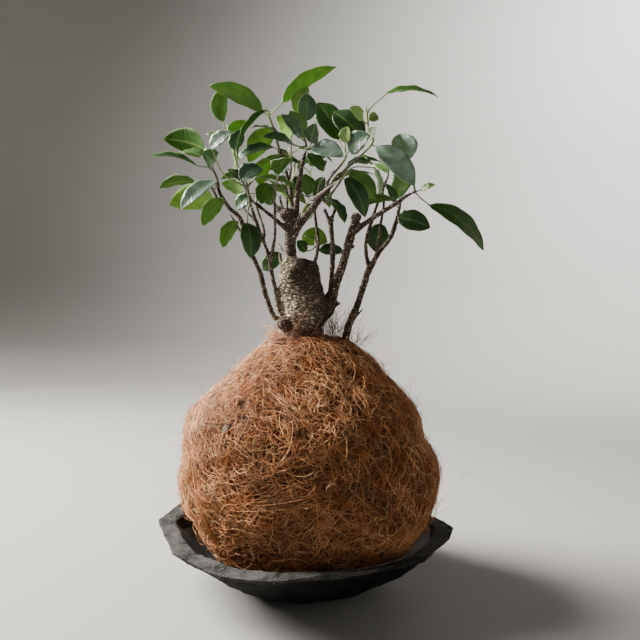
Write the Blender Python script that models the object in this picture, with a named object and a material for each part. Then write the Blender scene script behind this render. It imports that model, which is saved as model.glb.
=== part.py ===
"""Ficus kokedama: a ginseng fig in a ball of soil wrapped in coir, standing in a carved dish.

Metres, +Z up. The origin is the middle of the dish's flat foot, on the surface that it stands on,
and the front is -Y. Places on stems and leaves are written in millimetres as (x, z, y): x and z as
they stand in the front elevation, drawn in perspective from EYE, and y the depth.
"""
import math
import random
from collections import namedtuple

import bmesh
import bpy
from mathutils import Vector
from mathutils.bvhtree import BVHTree

MM = 0.001
GAP = 0.3
SEED = 27

# Front elevation
EYE = Vector((7.0, -546.0, 223.0))

# Dish, in millimetres
RIM_CORNERS = (
    (-178, 115, 43), (-144, 112, 42), (-133, 112, 41.5), (-116, 115.5, 41), (-103, 113.5, 42),
    (-92, 105.5, 42), (-76, 102.5, 43), (-57, 102.5, 43), (-39, 106.5, 42), (-14, 108.3, 42),
    (-2, 112.5, 42.5), (12, 103, 43), (50, 110, 44), (78, 108, 45), (105, 110, 44), (132, 108, 45),
    (157, 112, 44),
)
RIM_REACH = 110.0
RIM_TOP = 42.6
FOOT_RADIUS = 45.0
FLOOR_RADIUS = 53.0
FLOOR_TOP = 12.0
CHISEL_DEPTH = 1.1
CHISEL_LIFT = 0.8

# Dish's section as (radius, height, how far it follows the uneven rim), from the foot out and in
DISH_RINGS = (
    (FOOT_RADIUS, 0.0, 0.0), (62, 7.0, 0.2), (85, 22.3, 0.65), (103, 35.6, 1.0), (109.3, 40.3, 1.0),
    (RIM_REACH, RIM_TOP, 1.0), (97, 42.0, 0.5), (92, 36.0, 0.4), (79, 25.5, 0.2), (FLOOR_RADIUS, FLOOR_TOP, 0.0),
)

# Ball: outline as (height, radius), in millimetres
BALL_CENTRE = Vector((1.6, 0.0, 90.0))
BALL_OUTLINE = (
    (12.3, 50), (20, 64), (30, 73), (42, 84), (57, 92), (71, 95.5), (86, 96.5), (101, 95), (114, 91.5),
    (125, 87), (135, 80.5), (145, 72.5), (153, 62.5), (161, 54), (169, 47), (177, 40), (184, 32.5),
    (188.5, 23.5),
)
BALL_TOP = 190.0
BALL_SIDES = 40
WRAP_THICKNESS = 8.0
SOIL_SIDES = 22
STRAND_COUNT = 32
STRAND_RADIUS = 0.85
STRAND_STEPS = 5
STRAND_STRIDE = (6.0, 9.0)
STRAND_SINK = 2.6
STRAND_RISE = 5.6
STRAND_HEIGHTS = (30.0, 168.0)

# Trunk: (height, x of its middle, radius), in millimetres
ROOT_RINGS = ((111, -7.5, 10.0), (150, -7.5, 14.0), (184, -7.5, 16.3), (193, -7.5, 16.6))
TRUNK_RINGS = (
    (200, -6.2, 18.0), (208, -5.0, 19.2), (216, -6.8, 18.4), (225, -8.5, 17.2), (234, -8.5, 16.0),
    (242, -8.2, 14.6), (247, -8.0, 12.6),
)
TRUNK_SIDES = 18
STEM_SIDES = 6
THIN_STEM = 1.6
STEM_WAVE = 0.07
KNOT_SIDES = 7
KNOT_RINGS = (-0.85, 0.0, 0.85)

# Side stem's straight foot in the ball
SIDE_FOOT = Vector((20.0, -3.0, 148.0))
SIDE_NECK = Vector((29.5, -3.0, 196.0))
SIDE_RADIUS = 3.0
SIDE_SIDES = 8

# Leaves
BLADE_THICKNESS = 0.72
BLADE_STATIONS = ((0.10, 0.46), (0.34, 0.92), (0.62, 0.96), (0.86, 0.50))
BLADE_ARCH = 0.44
FOLD_SHARE = 0.8
PETIOLE_RADIUS = 0.7
PETIOLE_SINK = 1.1
STALK_FOOT = 3.0
STALK_LEAD = 2.5
TWIG_RADIUS = 1.25
TWIG_LEAD = 2.0
CLEARANCE = 0.45
DEPTH_SHIFTS = (0, -4, 4, -8, 8, -12, 12, -17, 17, -22, 22)
TURN_SHIFTS = (0, 14, -14, 28, 0, 20)
SIZE_STEPS = (1.0, 1.0, 1.0, 0.95, 0.8, 0.7)
FREE_TRIES = 60
FREE_STALK = (6.0, 10.0)
FREE_LENGTH = (30.0, 42.0)
FREE_WIDTH = (0.38, 0.46)
FREE_FOLD = (10.0, 20.0)
CROWN_MIDDLE = 325.0
CROWN_HALF_WIDTH = 84.0
CROWN_HALF_HEIGHT = 43.0
GOLDEN_ANGLE = math.radians(137.5)

Stem = namedtuple("Stem", "route base tip")
Shoot = namedtuple("Shoot", "name stem at twig extra leaves")
Leaf = namedtuple("Leaf", "base tip width turn fold")
Blade = namedtuple("Blade", "base tip normal width fold")

FIG_STEMS = {
    "main": Stem(((-13, 234, 0), (-16, 247, 0), (-17, 260, 0), (-17, 272, 0), (-21, 283, -2)), 5.0, 4.4),
    "upper_left": Stem((
        (-18, 270, -1), (-16, 284, 0), (-18, 301, 10), (-22, 317, 18), (-27, 332, 16)), 2.0, 1.3),
    "upper_right": Stem((
        (-16, 266, 0), (-13, 282, -1), (-12, 301, -3), (-9, 322, -6), (-7, 330, -8)), 2.8, 1.5),
    "right_fork": Stem((
        (-17, 262, -1), (-12, 272, -3), (0, 288, -12), (11, 302, -18), (23, 316, -24)), 4.3, 1.2),
    "left_branch": Stem(((-17, 268, 0), (-23, 273, -4), (-34, 282, -8), (-46, 291, -11)), 2.0, 1.3),
    "left_outer": Stem((
        (-18, 196, 3), (-28, 202, 2), (-36, 221, 1), (-40, 236, 0), (-48, 253, -4), (-53, 268, -7),
        (-57, 279, -9), (-65, 286, -11), (-73, 298, -13), (-75, 307, -14)), 2.3, 1.4),
    "left_stem": Stem((
        (-16, 201, -5), (-24, 207, -8), (-28, 224, -9), (-31, 236, -10), (-34, 251, -12),
        (-41, 268, -14), (-48, 287, -17)), 2.2, 1.3),
    "left_spur": Stem(((-32, 246, -11), (-30, 258, -15), (-29, 271, -18), (-30, 292, -22)), 1.5, 1.1),
    "left_fork": Stem(((-38, 262, -13), (-38, 270, -5), (-41, 279, 4), (-44, 288, 9)), 1.5, 1.1),
    "middle": Stem(((2, 238, 5), (3, 247, 7), (5, 260, 12), (3, 274, 16), (1, 289, 20)), 1.7, 1.2),
    "right_stem": Stem((
        (6, 200, 2), (15, 208, 0), (19, 228, -2), (24, 243, -4), (28, 259, -6), (31, 270, -7),
        (34, 280, -7)), 3.7, 3.3),
    "right_branch": Stem((
        (30, 267, -7), (39, 275, -9), (47, 281, -12), (56, 287, -15), (64, 292, -18), (72, 298, -20),
        (77, 301, -21)), 2.4, 1.3),
    "right_back_stem": Stem((
        (6, 214, 4), (14, 222, 6), (16, 239, 8), (16, 258, 10), (14, 278, 10)), 2.2, 2.0),
}
FIG_STUBS = (
    Stem(((14, 274, 10), (12, 280, 9), (9, 287, 7)), 1.5, 1.4),
    Stem(((14, 274, 10), (15, 280, 10), (18, 288, 10)), 1.5, 1.4),
    Stem(((27, 255, -6), (30, 257, -9), (33, 259, -11)), 1.5, 1.2),
    Stem(((-22, 284, -2), (-25, 291, -3), (-26, 297, -4)), 1.0, 0.9),
    Stem(((-22, 284, -2), (-28, 288, 0), (-33, 293, 1)), 1.0, 0.9),
    Stem(((-20, 282, -3), (-20, 290, -7), (-21, 296, -9)), 1.0, 0.9),
    Stem(((-20, 238, 2), (-24, 246, 5), (-25, 252, 7)), 1.6, 1.2),
    Stem(((-13, 274, -4), (-6, 290, -22), (5, 299, -29), (20, 310, -34)), 0.9, 0.7),
    Stem(((9, 300, -16), (12, 309, -14), (16, 318, -15)), 0.9, 0.7),
    Stem(((2, 290, -12), (4, 302, -10), (9, 312, -9)), 0.9, 0.7),
    Stem(((-16, 290, 3), (-21, 300, 3), (-26, 309, 1), (-29, 316, 0)), 0.9, 0.7),
    Stem(((-44, 276, -15), (-49, 281, -11), (-55, 287, -9)), 1.1, 0.8),
)
FIG_KNOTS = (
    ((-20, 197, -12), 5.6), ((-20, 282, -1), 5.9), ((-26, 286, 1), 3.2), ((34, 281, -7), 4.1),
    ((12, 211, -4), 5.0), ((14, 278, 10), 2.9),
)
SIDE_STEMS = {
    "side_stem": Stem(((35, 209, -2), (40, 225, 1), (44, 239, 4), (46, 244, 6)), 3.0, 2.4),
    "side_left": Stem((
        (45, 240, 5), (42, 256, 8), (43, 268, 11), (49, 288, 18), (53, 301, 22), (57, 311, 24)), 1.8, 1.2),
    "side_right": Stem(((45, 239, 5), (51, 252, 4), (61, 266, 1), (65, 278, -1), (67, 286, -3)), 2.2, 1.6),
    "side_inner": Stem(((49, 249, 4), (52, 262, 6), (53, 276, 8), (55, 290, 11), (54, 306, 14)), 1.4, 1.1),
}
SIDE_STUBS = (
    Stem(((29, 197, -4), (34, 202, -8), (41, 210, -11)), 0.9, 0.8),
    Stem(((63, 274, -1), (69, 282, 4), (72, 288, 6)), 1.3, 1.1),
)

SHOOTS = (
    Shoot("left_top", "left_outer", 1.0, ((-79, 317, -14), (-83, 328, -9)), 0, (
        Leaf((-85, 331, -6), (-118, 339, 20), 23, 156, 12),
        Leaf((-79, 319, -20), (-88, 329, -38), 16, 35, 30),
        Leaf((-91, 318, -14), (-129, 324, -24), 16, 78, 20),
        Leaf((-87, 325, 0), (-106, 327, 26), 14, 70, 18),
    )),
    Shoot("left_low", "left_outer", 0.9, ((-79, 301, -14), (-85, 304, -12)), 0, (
        Leaf((-90, 305, -10), (-120, 300, 4), 14, 125, 18),
        Leaf((-80, 292, -4), (-111, 284, 18), 20, 158, 10),
        Leaf((-77, 307, -24), (-103, 284, -42), 14, 38, 18),
        Leaf((-74, 291, -17), (-86, 272, -24), 15, 140, 14),
    )),
    Shoot("left_mid", "left_outer", 0.66, ((-61, 276, -15),), 0, (
        Leaf((-62, 273, -16), (-70, 254, -20), 15, 135, 14),
    )),
    Shoot("left_inner", "left_stem", 1.0, ((-50, 296, -18), (-52, 305, -20)), 1, (
        Leaf((-42, 319, -26), (-57, 307, -38), 17, 40, 16),
        Leaf((-55, 306, -12), (-68, 316, 4), 14, 60, 16),
        Leaf((-51, 275, -25), (-48, 247, -34), 17, 25, 16),
        Leaf((-81, 332, -32), (-65, 346, -26), 12, 40, 14),
    )),
    Shoot("left_spur", "left_spur", 1.0, ((-30, 299, -22), (-29, 306, -24)), 1, (
        Leaf((-35, 306, -20), (-41, 290, -26), 14, 140, 16),
    )),
    Shoot("left_back", "left_fork", 1.0, ((-44, 294, 16), (-43, 301, 30), (-41, 309, 42)), 3, (
        Leaf((-40, 304, 22), (-32, 289, 30), 15, 30, 16),
        Leaf((-55, 299, 26), (-72, 305, 34), 13, 150, 14),
        Leaf((-48, 296, 20), (-60, 286, 28), 13, 30, 14),
    )),
    Shoot("left_crest", "left_branch", 1.0, (
        (-53, 302, -12), (-59, 317, -12), (-63, 331, -10), (-67, 345, -8)), 0, (
        Leaf((-72, 353, -10), (-69, 383, -14), 17, 155, 42),
        Leaf((-63, 331, -16), (-57, 347, -14), 12, 20, 16),
        Leaf((-67, 337, 4), (-51, 354, 22), 16, 150, 14),
        Leaf((-74, 341, -2), (-85, 343, 6), 6, 60, 14),
        Leaf((-62, 317, 2), (-66, 335, 10), 9, 120, 16),
    )),
    Shoot("crest_left", "upper_left", 0.70, ((-18, 322, 28), (-19, 329, 31)), 1, (
        Leaf((-31, 334, 8), (-60, 324, -10), 16, 62, 16),
        Leaf((-36, 326, 26), (-42, 304, 32), 15, 150, 14),
        Leaf((-21, 319, 6), (-30, 309, 0), 10, 40, 20),
        Leaf((-18, 342, 14), (-30, 359, 20), 15, 148, 14),
        Leaf((-29, 333, 24), (-19, 321, 22), 9, 40, 16),
    )),
    Shoot("crest", "upper_left", 1.0, ((-30, 342, 10), (-33, 351, 4), (-37, 361, -2)), 0, (
        Leaf((-41, 362, -6), (-83, 381, -20), 18, 140, 16),
        Leaf((-38, 363, -12), (-60, 324, -28), 15, 80, 20),
        Leaf((-26, 369, -2), (14, 399, 8), 15, 142, 18),
        Leaf((-33, 349, 16), (-51, 322, 26), 20, 152, 12),
        Leaf((-28, 345, 2), (-51, 349, 20), 14, 86, 14),
    )),
    Shoot("crown", "upper_right", 1.0, ((-6, 335, -10), (-8, 343, -12)), 0, (
        Leaf((-8, 342, -16), (-20, 363, -22), 14, 18, 12),
        Leaf((-11, 342, -20), (-27, 360, -32), 11, 40, 16),
        Leaf((-5, 355, -16), (-5, 376, -20), 16, 15, 14),
        Leaf((-2, 338, -26), (1, 354, -38), 13, 30, 16),
        Leaf((-16, 362, 6), (-5, 380, 10), 12, 62, 18),
        Leaf((-2, 335, -22), (23, 328, -40), 16, 34, 12),
        Leaf((-16, 336, -14), (-40, 342, -28), 12, 58, 18),
        Leaf((-5, 330, -14), (8, 316, -18), 11, 30, 14),
    )),
    Shoot("crown_right", "right_fork", 0.8, ((24, 326, -26), (24, 334, -24)), 0, (
        Leaf((19, 341, -12), (2, 369, -4), 20, 22, 14),
        Leaf((21, 339, -30), (23, 352, -36), 10, 25, 24),
        Leaf((27, 333, -30), (43, 346, -44), 17, 30, 14),
        Leaf((15, 336, -8), (6, 325, -16), 12, 120, 16),
    )),
    Shoot("right_top", "right_fork", 1.0, ((45, 339, -28), (42, 349, -24), (40, 363, -22)), 0, (
        Leaf((49, 337, -30), (79, 306, -46), 20, 32, 8),
        Leaf((39, 347, -16), (15, 364, -6), 20, 25, 14),
        Leaf((37, 357, -26), (27, 367, -34), 10, 40, 14),
        Leaf((41, 360, -22), (47, 364, -16), 8, 30, 20),
        Leaf((54, 377, -20), (96, 377, -14), 15, 84, 16),
        Leaf((45, 345, -22), (48, 352, -34), 9, 40, 16),
    )),
    Shoot("right_fan", "right_fork", 0.62, ((21, 309, -20),), 0, (
        Leaf((24, 313, -28), (41, 279, -40), 19, 22, 14),
        Leaf((28, 315, -14), (49, 296, -8), 17, 158, 10),
        Leaf((26, 322, -24), (45, 324, -36), 12, 68, 16),
        Leaf((10, 296, -24), (25, 276, -34), 13, 58, 16),
        Leaf((46, 321, 2), (50, 295, 8), 12, 70, 18),
    )),
    Shoot("right_end", "right_branch", 1.0, ((78, 308, -20), (77, 317, -18)), 0, (
        Leaf((74, 325, -18), (68, 347, -16), 20, 10, 44),
        Leaf((74, 321, -6), (66, 296, -8), 17, 24, 12),
        Leaf((93, 292, -22), (134, 257, -12), 17, 42, 14),
        Leaf((84, 303, -24), (95, 308, -28), 6, 40, 16),
    )),
    Shoot("right_low", "side_right", 1.0, ((68, 291, -4),), 1, (
        Leaf((72, 283, -8), (94, 276, -14), 16, 22, 12),
        Leaf((64, 292, -8), (56, 308, -14), 8, 40, 16),
    )),
    Shoot("right_back", "side_left", 1.0, ((58, 318, 32), (56, 325, 44)), 3, ()),
    Shoot("right_inner", "side_inner", 1.0, ((53, 312, 20), (48, 319, 30)), 3, ()),
    Shoot("middle_back", "middle", 1.0, ((1, 296, 26), (-2, 306, 38), (-3, 314, 48)), 3, (
        Leaf((-5, 297, 22), (-6, 314, 30), 14, 25, 12),
        Leaf((3, 296, 24), (7, 312, 34), 13, 30, 12),
        Leaf((-10, 298, 32), (-15, 312, 38), 10, 30, 14),
        Leaf((2, 291, 34), (-7, 277, 40), 12, 30, 14),
    )),
    Shoot("middle_low", "middle", 0.42, ((3, 266, 20),), 0, (
        Leaf((-8, 266, 20), (12, 261, 26), 18, 152, 10),
        Leaf((5, 254, 18), (25, 254, 24), 12, 38, 14),
        Leaf((-5, 253, 12), (-12, 262, 10), 10, 30, 16),
    )),
    Shoot("side_low", "side_left", 0.35, ((45, 273, 16),), 0, (
        Leaf((49, 277, 18), (47, 255, 22), 16, 25, 12),
    )),
    Shoot("trunk_sprig", "main", 0.38, ((-25, 257, 9),), 0, (
        Leaf((-24, 252, 11), (-38, 238, 14), 13, 35, 14),
    )),
    Shoot("centre_back", "upper_left", 0.45, ((-18, 304, 24), (-16, 312, 38), (-15, 320, 50)), 4, ()),
)


# Places and paths


def from_front(place):
    """The point in space that shows at (x, z) of the front elevation and lies at depth y."""
    x, z, y = place
    reach = 1.0 - y / EYE.y
    return Vector((EYE.x + (x - EYE.x) * reach, y, EYE.z + (z - EYE.z) * reach))


def smooth_path(points, steps):
    """A smooth curve through the points, with some steps from each to the next."""
    ends = [2 * points[0] - points[1], *points, 2 * points[-1] - points[-2]]
    path = []
    for a, b, c, d in zip(ends, ends[1:], ends[2:], ends[3:]):
        for step in range(steps):
            t = step / steps
            path.append(0.5 * (2 * b + (c - a) * t + (2 * a - 5 * b + 4 * c - d) * t ** 2
                               + (3 * b - a - 3 * c + d) * t ** 3))
    return path + [points[-1].copy()]


def along(path, share):
    """The point and the direction at a share of a path's length."""
    lengths = [(b - a).length for a, b in zip(path, path[1:])]
    left = share * sum(lengths)
    for (a, b), length in zip(zip(path, path[1:]), lengths):
        if left <= length or b is path[-1]:
            return a.lerp(b, min(1.0, left / length)), (b - a).normalized()
        left -= length


def length_to(path, point):
    """How far along the path its nearest point to a given one lies, and the path's length."""
    gone = 0.0
    best = (math.inf, 0.0)
    for a, b in zip(path, path[1:]):
        run = b - a
        share = min(1.0, max(0.0, (point - a).dot(run) / run.length_squared))
        best = min(best, ((a + run * share - point).length, gone + run.length * share))
        gone += run.length
    return best[1], gone


def any_normal(direction):
    """A direction square to the given one."""
    other = Vector((0, 0, 1)) if abs(direction.z) < 0.9 else Vector((1, 0, 0))
    return direction.cross(other).normalized()


# Solids as (points, faces), in millimetres


def tube(path, radii, sides):
    """A closed tube along a path, with its own radius at each point and flat ends."""
    points = []
    across = any_normal(path[1] - path[0])
    for i, (centre, radius) in enumerate(zip(path, radii)):
        ahead = (path[min(i + 1, len(path) - 1)] - path[max(i - 1, 0)]).normalized()
        across = (across - across.dot(ahead) * ahead).normalized()
        up = ahead.cross(across)
        for k in range(sides):
            turn = math.tau * k / sides
            points.append(centre + radius * (math.cos(turn) * across + math.sin(turn) * up))
    return points, ring_faces(len(path), sides)


def ring_faces(rings, sides):
    """Faces over rings of points from first to last, with a flat face at each end."""
    faces = [tuple(reversed(range(sides)))]
    for ring in range(rings - 1):
        low = ring * sides
        for k in range(sides):
            after = (k + 1) % sides
            faces.append((low + k, low + after, low + sides + after, low + sides + k))
    faces.append(tuple(range((rings - 1) * sides, rings * sides)))
    return faces


def split_alike(faces):
    """Each four-sided face as two triangles, always along the same diagonal."""
    halves = []
    for face in faces:
        if len(face) == 4:
            a, b, c, d = face
            halves += [(a, b, c), (a, c, d)]
        else:
            halves.append(face)
    return halves


def taper(count, base, tip):
    """Radii that run evenly from base to tip."""
    return [base + (tip - base) * i / (count - 1) for i in range(count)]


def stem_solid(stem):
    """A stem's tube, a little uneven along its length as wood is."""
    path = stem_path(stem)
    sides = STEM_SIDES if stem.base > THIN_STEM else STEM_SIDES - 1
    radii = taper(len(path), stem.base, stem.tip)
    return tube(path, [r * (1 + STEM_WAVE * math.sin(2.1 * i)) for i, r in enumerate(radii)], sides)


def stem_path(stem):
    """A stem's middle line in space."""
    return [from_front(place) for place in stem.route]


def knot(place, radius):
    """A small burl: a ball of a few faces, squashed along its height."""
    middle = from_front(place)
    points = []
    for height in KNOT_RINGS:
        ring = radius * math.sqrt(1 - height * height)
        for k in range(KNOT_SIDES):
            turn = math.tau * k / KNOT_SIDES + height
            spoke = Vector((ring * math.cos(turn), ring * math.sin(turn), 0.9 * radius * height))
            points.append(middle + spoke)
    return points, ring_faces(len(KNOT_RINGS), KNOT_SIDES)


def blade_line(blade, share):
    """A point of the midrib, which arches towards the upper side."""
    run = blade.tip - blade.base
    arch = BLADE_ARCH * run.length * share * (1 - share)
    return blade.base + run * share + blade.normal * arch


def blade_solid(blade, stations=BLADE_STATIONS, thickness=BLADE_THICKNESS, spread=0.0):
    """A thin leaf blade, folded up along its midrib and pointed at both ends."""
    side = (blade.tip - blade.base).cross(blade.normal).normalized()
    rise = math.tan(math.radians(blade.fold))
    half = 0.5 * thickness * blade.normal
    points = [blade.base, blade.tip]
    for share, width in stations:
        middle = blade_line(blade, share)
        reach = 0.5 * blade.width * width + spread
        edge_lift = blade.normal * reach * rise * FOLD_SHARE
        for place in (middle - side * reach + edge_lift, middle, middle + side * reach + edge_lift):
            points.append(place + half)
            points.append(place - half)
    return points, blade_faces(len(stations))


def blade_faces(count):
    """Triangles of a blade, split alike on its upper and lower face."""

    def corner(station, column, under):
        return 2 + 6 * station + 2 * column + under

    faces = []
    for under in (0, 1):
        sheet = []
        for left in (0, 1):
            sheet.append((0, corner(0, left + 1, under), corner(0, left, under)))
            sheet.append((1, corner(count - 1, left, under), corner(count - 1, left + 1, under)))
            for i in range(count - 1):
                a, b = corner(i, left, under), corner(i, left + 1, under)
                c, d = corner(i + 1, left + 1, under), corner(i + 1, left, under)
                sheet += [(a, b, c), (a, c, d)]
        faces += [tuple(reversed(face)) for face in sheet] if under else sheet
    for column in (0, 2):
        rim = [(0, corner(0, column, 0), corner(0, column, 1))]
        rim.append((1, corner(count - 1, column, 1), corner(count - 1, column, 0)))
        for i in range(count - 1):
            a, b = corner(i, column, 0), corner(i + 1, column, 0)
            c, d = corner(i + 1, column, 1), corner(i, column, 1)
            rim += [(a, b, c), (a, c, d)]
        faces += [tuple(reversed(face)) for face in rim] if column else rim
    return faces


def petiole_path(root, blade):
    """The leaf stalk's middle line, from the twig into the foot of the midrib."""
    slope = (blade_line(blade, 0.10) - blade.base).normalized()
    knee = root.lerp(blade.base, 0.5) - slope * 0.16 * (blade.base - root).length
    return [root, knee, blade.base + slope * PETIOLE_SINK]


def petiole_solid(root, blade, spread=0.0):
    """The leaf stalk: a thin three-sided tube."""
    return tube(petiole_path(root, blade), [PETIOLE_RADIUS + spread] * 3, 3)


# Plan of the leaves


def tree(solid):
    """The solid's faces, ready for asking what they cross."""
    return BVHTree.FromPolygons(*solid)


class Plan:
    """Where each leaf goes: as drawn in the front elevation, and moved only until it is clear."""

    def __init__(self, stems):
        self.paths = {name: stem_path(stem) for name, stem in stems.items()}
        self.stems = stems
        self.wood = []
        self.twigs = {}
        self.twig_trees = {}
        self.blades = []
        self.petioles = []

    def twig(self, shoot):
        """A shoot's middle line: it leaves its stem squarely, a small gap away from the wood."""
        path = self.paths[shoot.stem]
        stem = self.stems[shoot.stem]
        spot, ahead = along(path, shoot.at)
        places = [from_front(place) for place in shoot.twig]
        if shoot.at < 1.0:
            radius = stem.base + (stem.tip - stem.base) * shoot.at
            outward = places[0] - spot
            ahead = (outward - outward.dot(ahead) * ahead).normalized()
            spot = spot + ahead * radius * 1.15
        start = spot + ahead * GAP
        return [start, start + ahead * TWIG_LEAD, *places]

    def clear(self, name, blade, root):
        """Whether a blade and its stalk cross nothing."""
        grown = tree(blade_solid(blade, thickness=BLADE_THICKNESS + 2 * CLEARANCE, spread=CLEARANCE))
        stalk_tree = tree(petiole_solid(root, blade, CLEARANCE * 1.5))
        if any(grown.overlap(other) or stalk_tree.overlap(other) for other in self.wood):
            return False
        for other, twig in self.twig_trees.items():
            if grown.overlap(twig) or (other != name and stalk_tree.overlap(twig)):
                return False
        if any(grown.overlap(other) or stalk_tree.overlap(other) for _, other in self.blades):
            return False
        for other, stalk_other in self.petioles:
            if grown.overlap(stalk_other) or (other != name and stalk_tree.overlap(stalk_other)):
                return False
        return True

    def place(self, shoot, choices):
        """The first of the choices that is clear, kept for those that follow; else nothing."""
        for blade in choices:
            root = petiole_root(self.twigs[shoot.name], blade)
            if self.clear(shoot.name, blade, root):
                self.blades.append((shoot.name, tree(blade_solid(blade))))
                self.petioles.append((shoot.name, tree(petiole_solid(root, blade))))
                return blade, root
        return None


def petiole_root(twig, blade):
    """Where on the twig a leaf's stalk springs: a little before the nearest point, clear of the wood."""
    near, whole = length_to(twig, blade.base)
    return along(twig, max(STALK_FOOT, near - STALK_LEAD) / whole)[0]


def drawn_blades(leaf):
    """A drawn leaf, and the same leaf slid along the line of sight and turned by steps."""
    for turn, size in zip(TURN_SHIFTS, SIZE_STEPS):
        for shift in DEPTH_SHIFTS:
            base = from_front((leaf.base[0], leaf.base[1], leaf.base[2] + 0.4 * shift))
            tip = from_front((leaf.tip[0], leaf.tip[1], leaf.tip[2] + shift))
            axis = (tip - base).normalized()
            facing = EYE - base
            facing = (facing - facing.dot(axis) * axis).normalized()
            upward = axis.cross(facing)
            upward = upward if upward.z >= 0 else -upward
            angle = math.radians(leaf.turn + turn)
            normal = facing * math.cos(angle) + upward * math.sin(angle)
            yield Blade(base, tip, normal, leaf.width * size, leaf.fold)


def free_blades(twig, number, draw):
    """Leaves of the back of the crown, set round the twig by the golden angle."""
    for attempt in range(FREE_TRIES):
        foot, ahead = along(twig, 0.45 + 0.55 * draw.random())
        azimuth = number * GOLDEN_ANGLE + attempt * 0.7 + draw.uniform(-0.3, 0.3)
        outward = Vector((math.cos(azimuth), math.sin(azimuth), draw.uniform(-0.1, 0.9))).normalized()
        base = foot + (outward + 0.5 * ahead).normalized() * draw.uniform(*FREE_STALK)
        droop = Vector((0, 0, -draw.uniform(0.1, 0.7)))
        length = draw.uniform(*FREE_LENGTH)
        tip = base + (outward + droop).normalized() * length
        lean = Vector((draw.uniform(-0.4, 0.4), draw.uniform(-0.4, 0.4), 1.0))
        axis = (tip - base).normalized()
        normal = (lean - lean.dot(axis) * axis).normalized()
        blade = Blade(base, tip, normal, length * draw.uniform(*FREE_WIDTH), draw.uniform(*FREE_FOLD))
        if inside_crown(tip) and inside_crown(base):
            yield blade


def inside_crown(point):
    """Whether a point shows within the dense middle of the crown, seen from the front."""
    reach = (point.y - EYE.y) / -EYE.y
    x = EYE.x + (point.x - EYE.x) / reach
    z = EYE.z + (point.z - EYE.z) / reach
    return (x / CROWN_HALF_WIDTH) ** 2 + ((z - CROWN_MIDDLE) / CROWN_HALF_HEIGHT) ** 2 < 1.0


def plan_shoots(stems, wood):
    """Each shoot's twig and leaves as (shoot, twig path, [(blade, root)])."""
    plan = Plan(stems)
    plan.wood = [tree(solid) for solid in wood]
    for shoot in SHOOTS:
        plan.twigs[shoot.name] = plan.twig(shoot)
        plan.twig_trees[shoot.name] = tree(twig_solid(plan.twigs[shoot.name]))
    leaves = {shoot.name: [] for shoot in SHOOTS}
    for shoot in SHOOTS:
        leaves[shoot.name] += [plan.place(shoot, drawn_blades(leaf)) for leaf in shoot.leaves]
    for rank, shoot in enumerate(SHOOTS):
        for number in range(shoot.extra):
            draw = random.Random(SEED + 100 * rank + number)
            leaves[shoot.name].append(plan.place(shoot, free_blades(plan.twigs[shoot.name], number, draw)))
    return [(shoot, plan.twigs[shoot.name], [one for one in leaves[shoot.name] if one]) for shoot in SHOOTS]


def twig_solid(path):
    """A green twig's tube."""
    return tube(path, taper(len(path), TWIG_RADIUS, 0.75 * TWIG_RADIUS), 5)


# Dish


def dish_solid():
    """The carved dish: rings of points from the foot's middle out over the rim and in to the floor."""
    draw = random.Random(SEED)
    corners = [(math.radians(turn), reach / RIM_REACH, height) for turn, reach, height in RIM_CORNERS]
    outline = []
    for (turn, reach, height), after in zip(corners, corners[1:] + corners[:1]):
        next_turn = after[0] if after[0] > turn else after[0] + math.tau
        here = Vector((reach * math.cos(turn), reach * math.sin(turn), height))
        there = Vector((after[1] * math.cos(next_turn), after[1] * math.sin(next_turn), after[2]))
        outline += [here, here.lerp(there, 0.5)]
    rings = []
    for radius, height, follows_rim in DISH_RINGS:
        flat = height in (0.0, FLOOR_TOP)
        ring = []
        for place in outline:
            turn = math.atan2(place.y, place.x)
            reach = math.hypot(place.x, place.y)
            out = radius * (1 + follows_rim * (reach - 1))
            out += 0 if flat else draw.uniform(-1, 1) * CHISEL_DEPTH
            lift = 0 if flat else follows_rim * (place.z - RIM_TOP) + draw.uniform(-1, 1) * CHISEL_LIFT
            ring.append(Vector((out * math.cos(turn), out * math.sin(turn), height + lift)))
        rings.append(ring)
    points = [point for ring in rings for point in ring]
    return points, ring_faces(len(rings), len(outline))


# Ball


def ball_radius(turn, height, radius):
    """The ball's radius with its slow lumps: a shoulder high on the left, a bulge low on the right."""
    lump = 1.6 * math.sin(2 * turn + 0.045 * height) + 1.3 * math.sin(3 * turn - 0.06 * height + 1.0)
    swirl = 1.0 * math.sin(6 * turn + 0.11 * height + 1.6 * math.sin(2 * turn + 0.05 * height))
    felt = 0.7 * math.sin(10 * turn - 0.17 * height + 2.0 * math.sin(turn - 0.04 * height))
    shoulder = 5.5 * math.exp(-((height - 124) / 18) ** 2) * max(0.0, -math.cos(turn)) ** 3
    bulge = 1.0 * math.exp(-((height - 92) / 16) ** 2) * max(0.0, math.cos(turn)) ** 3
    hollow = -2.0 * math.exp(-((height - 122) / 12) ** 2) * max(0.0, math.cos(turn + 0.3)) ** 3
    fade = min(1.0, max(0.0, (height - 14) / 30)) * min(1.0, max(0.0, (196 - height) / 30))
    return radius + fade * (lump + swirl + felt + shoulder + bulge + hollow)


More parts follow.
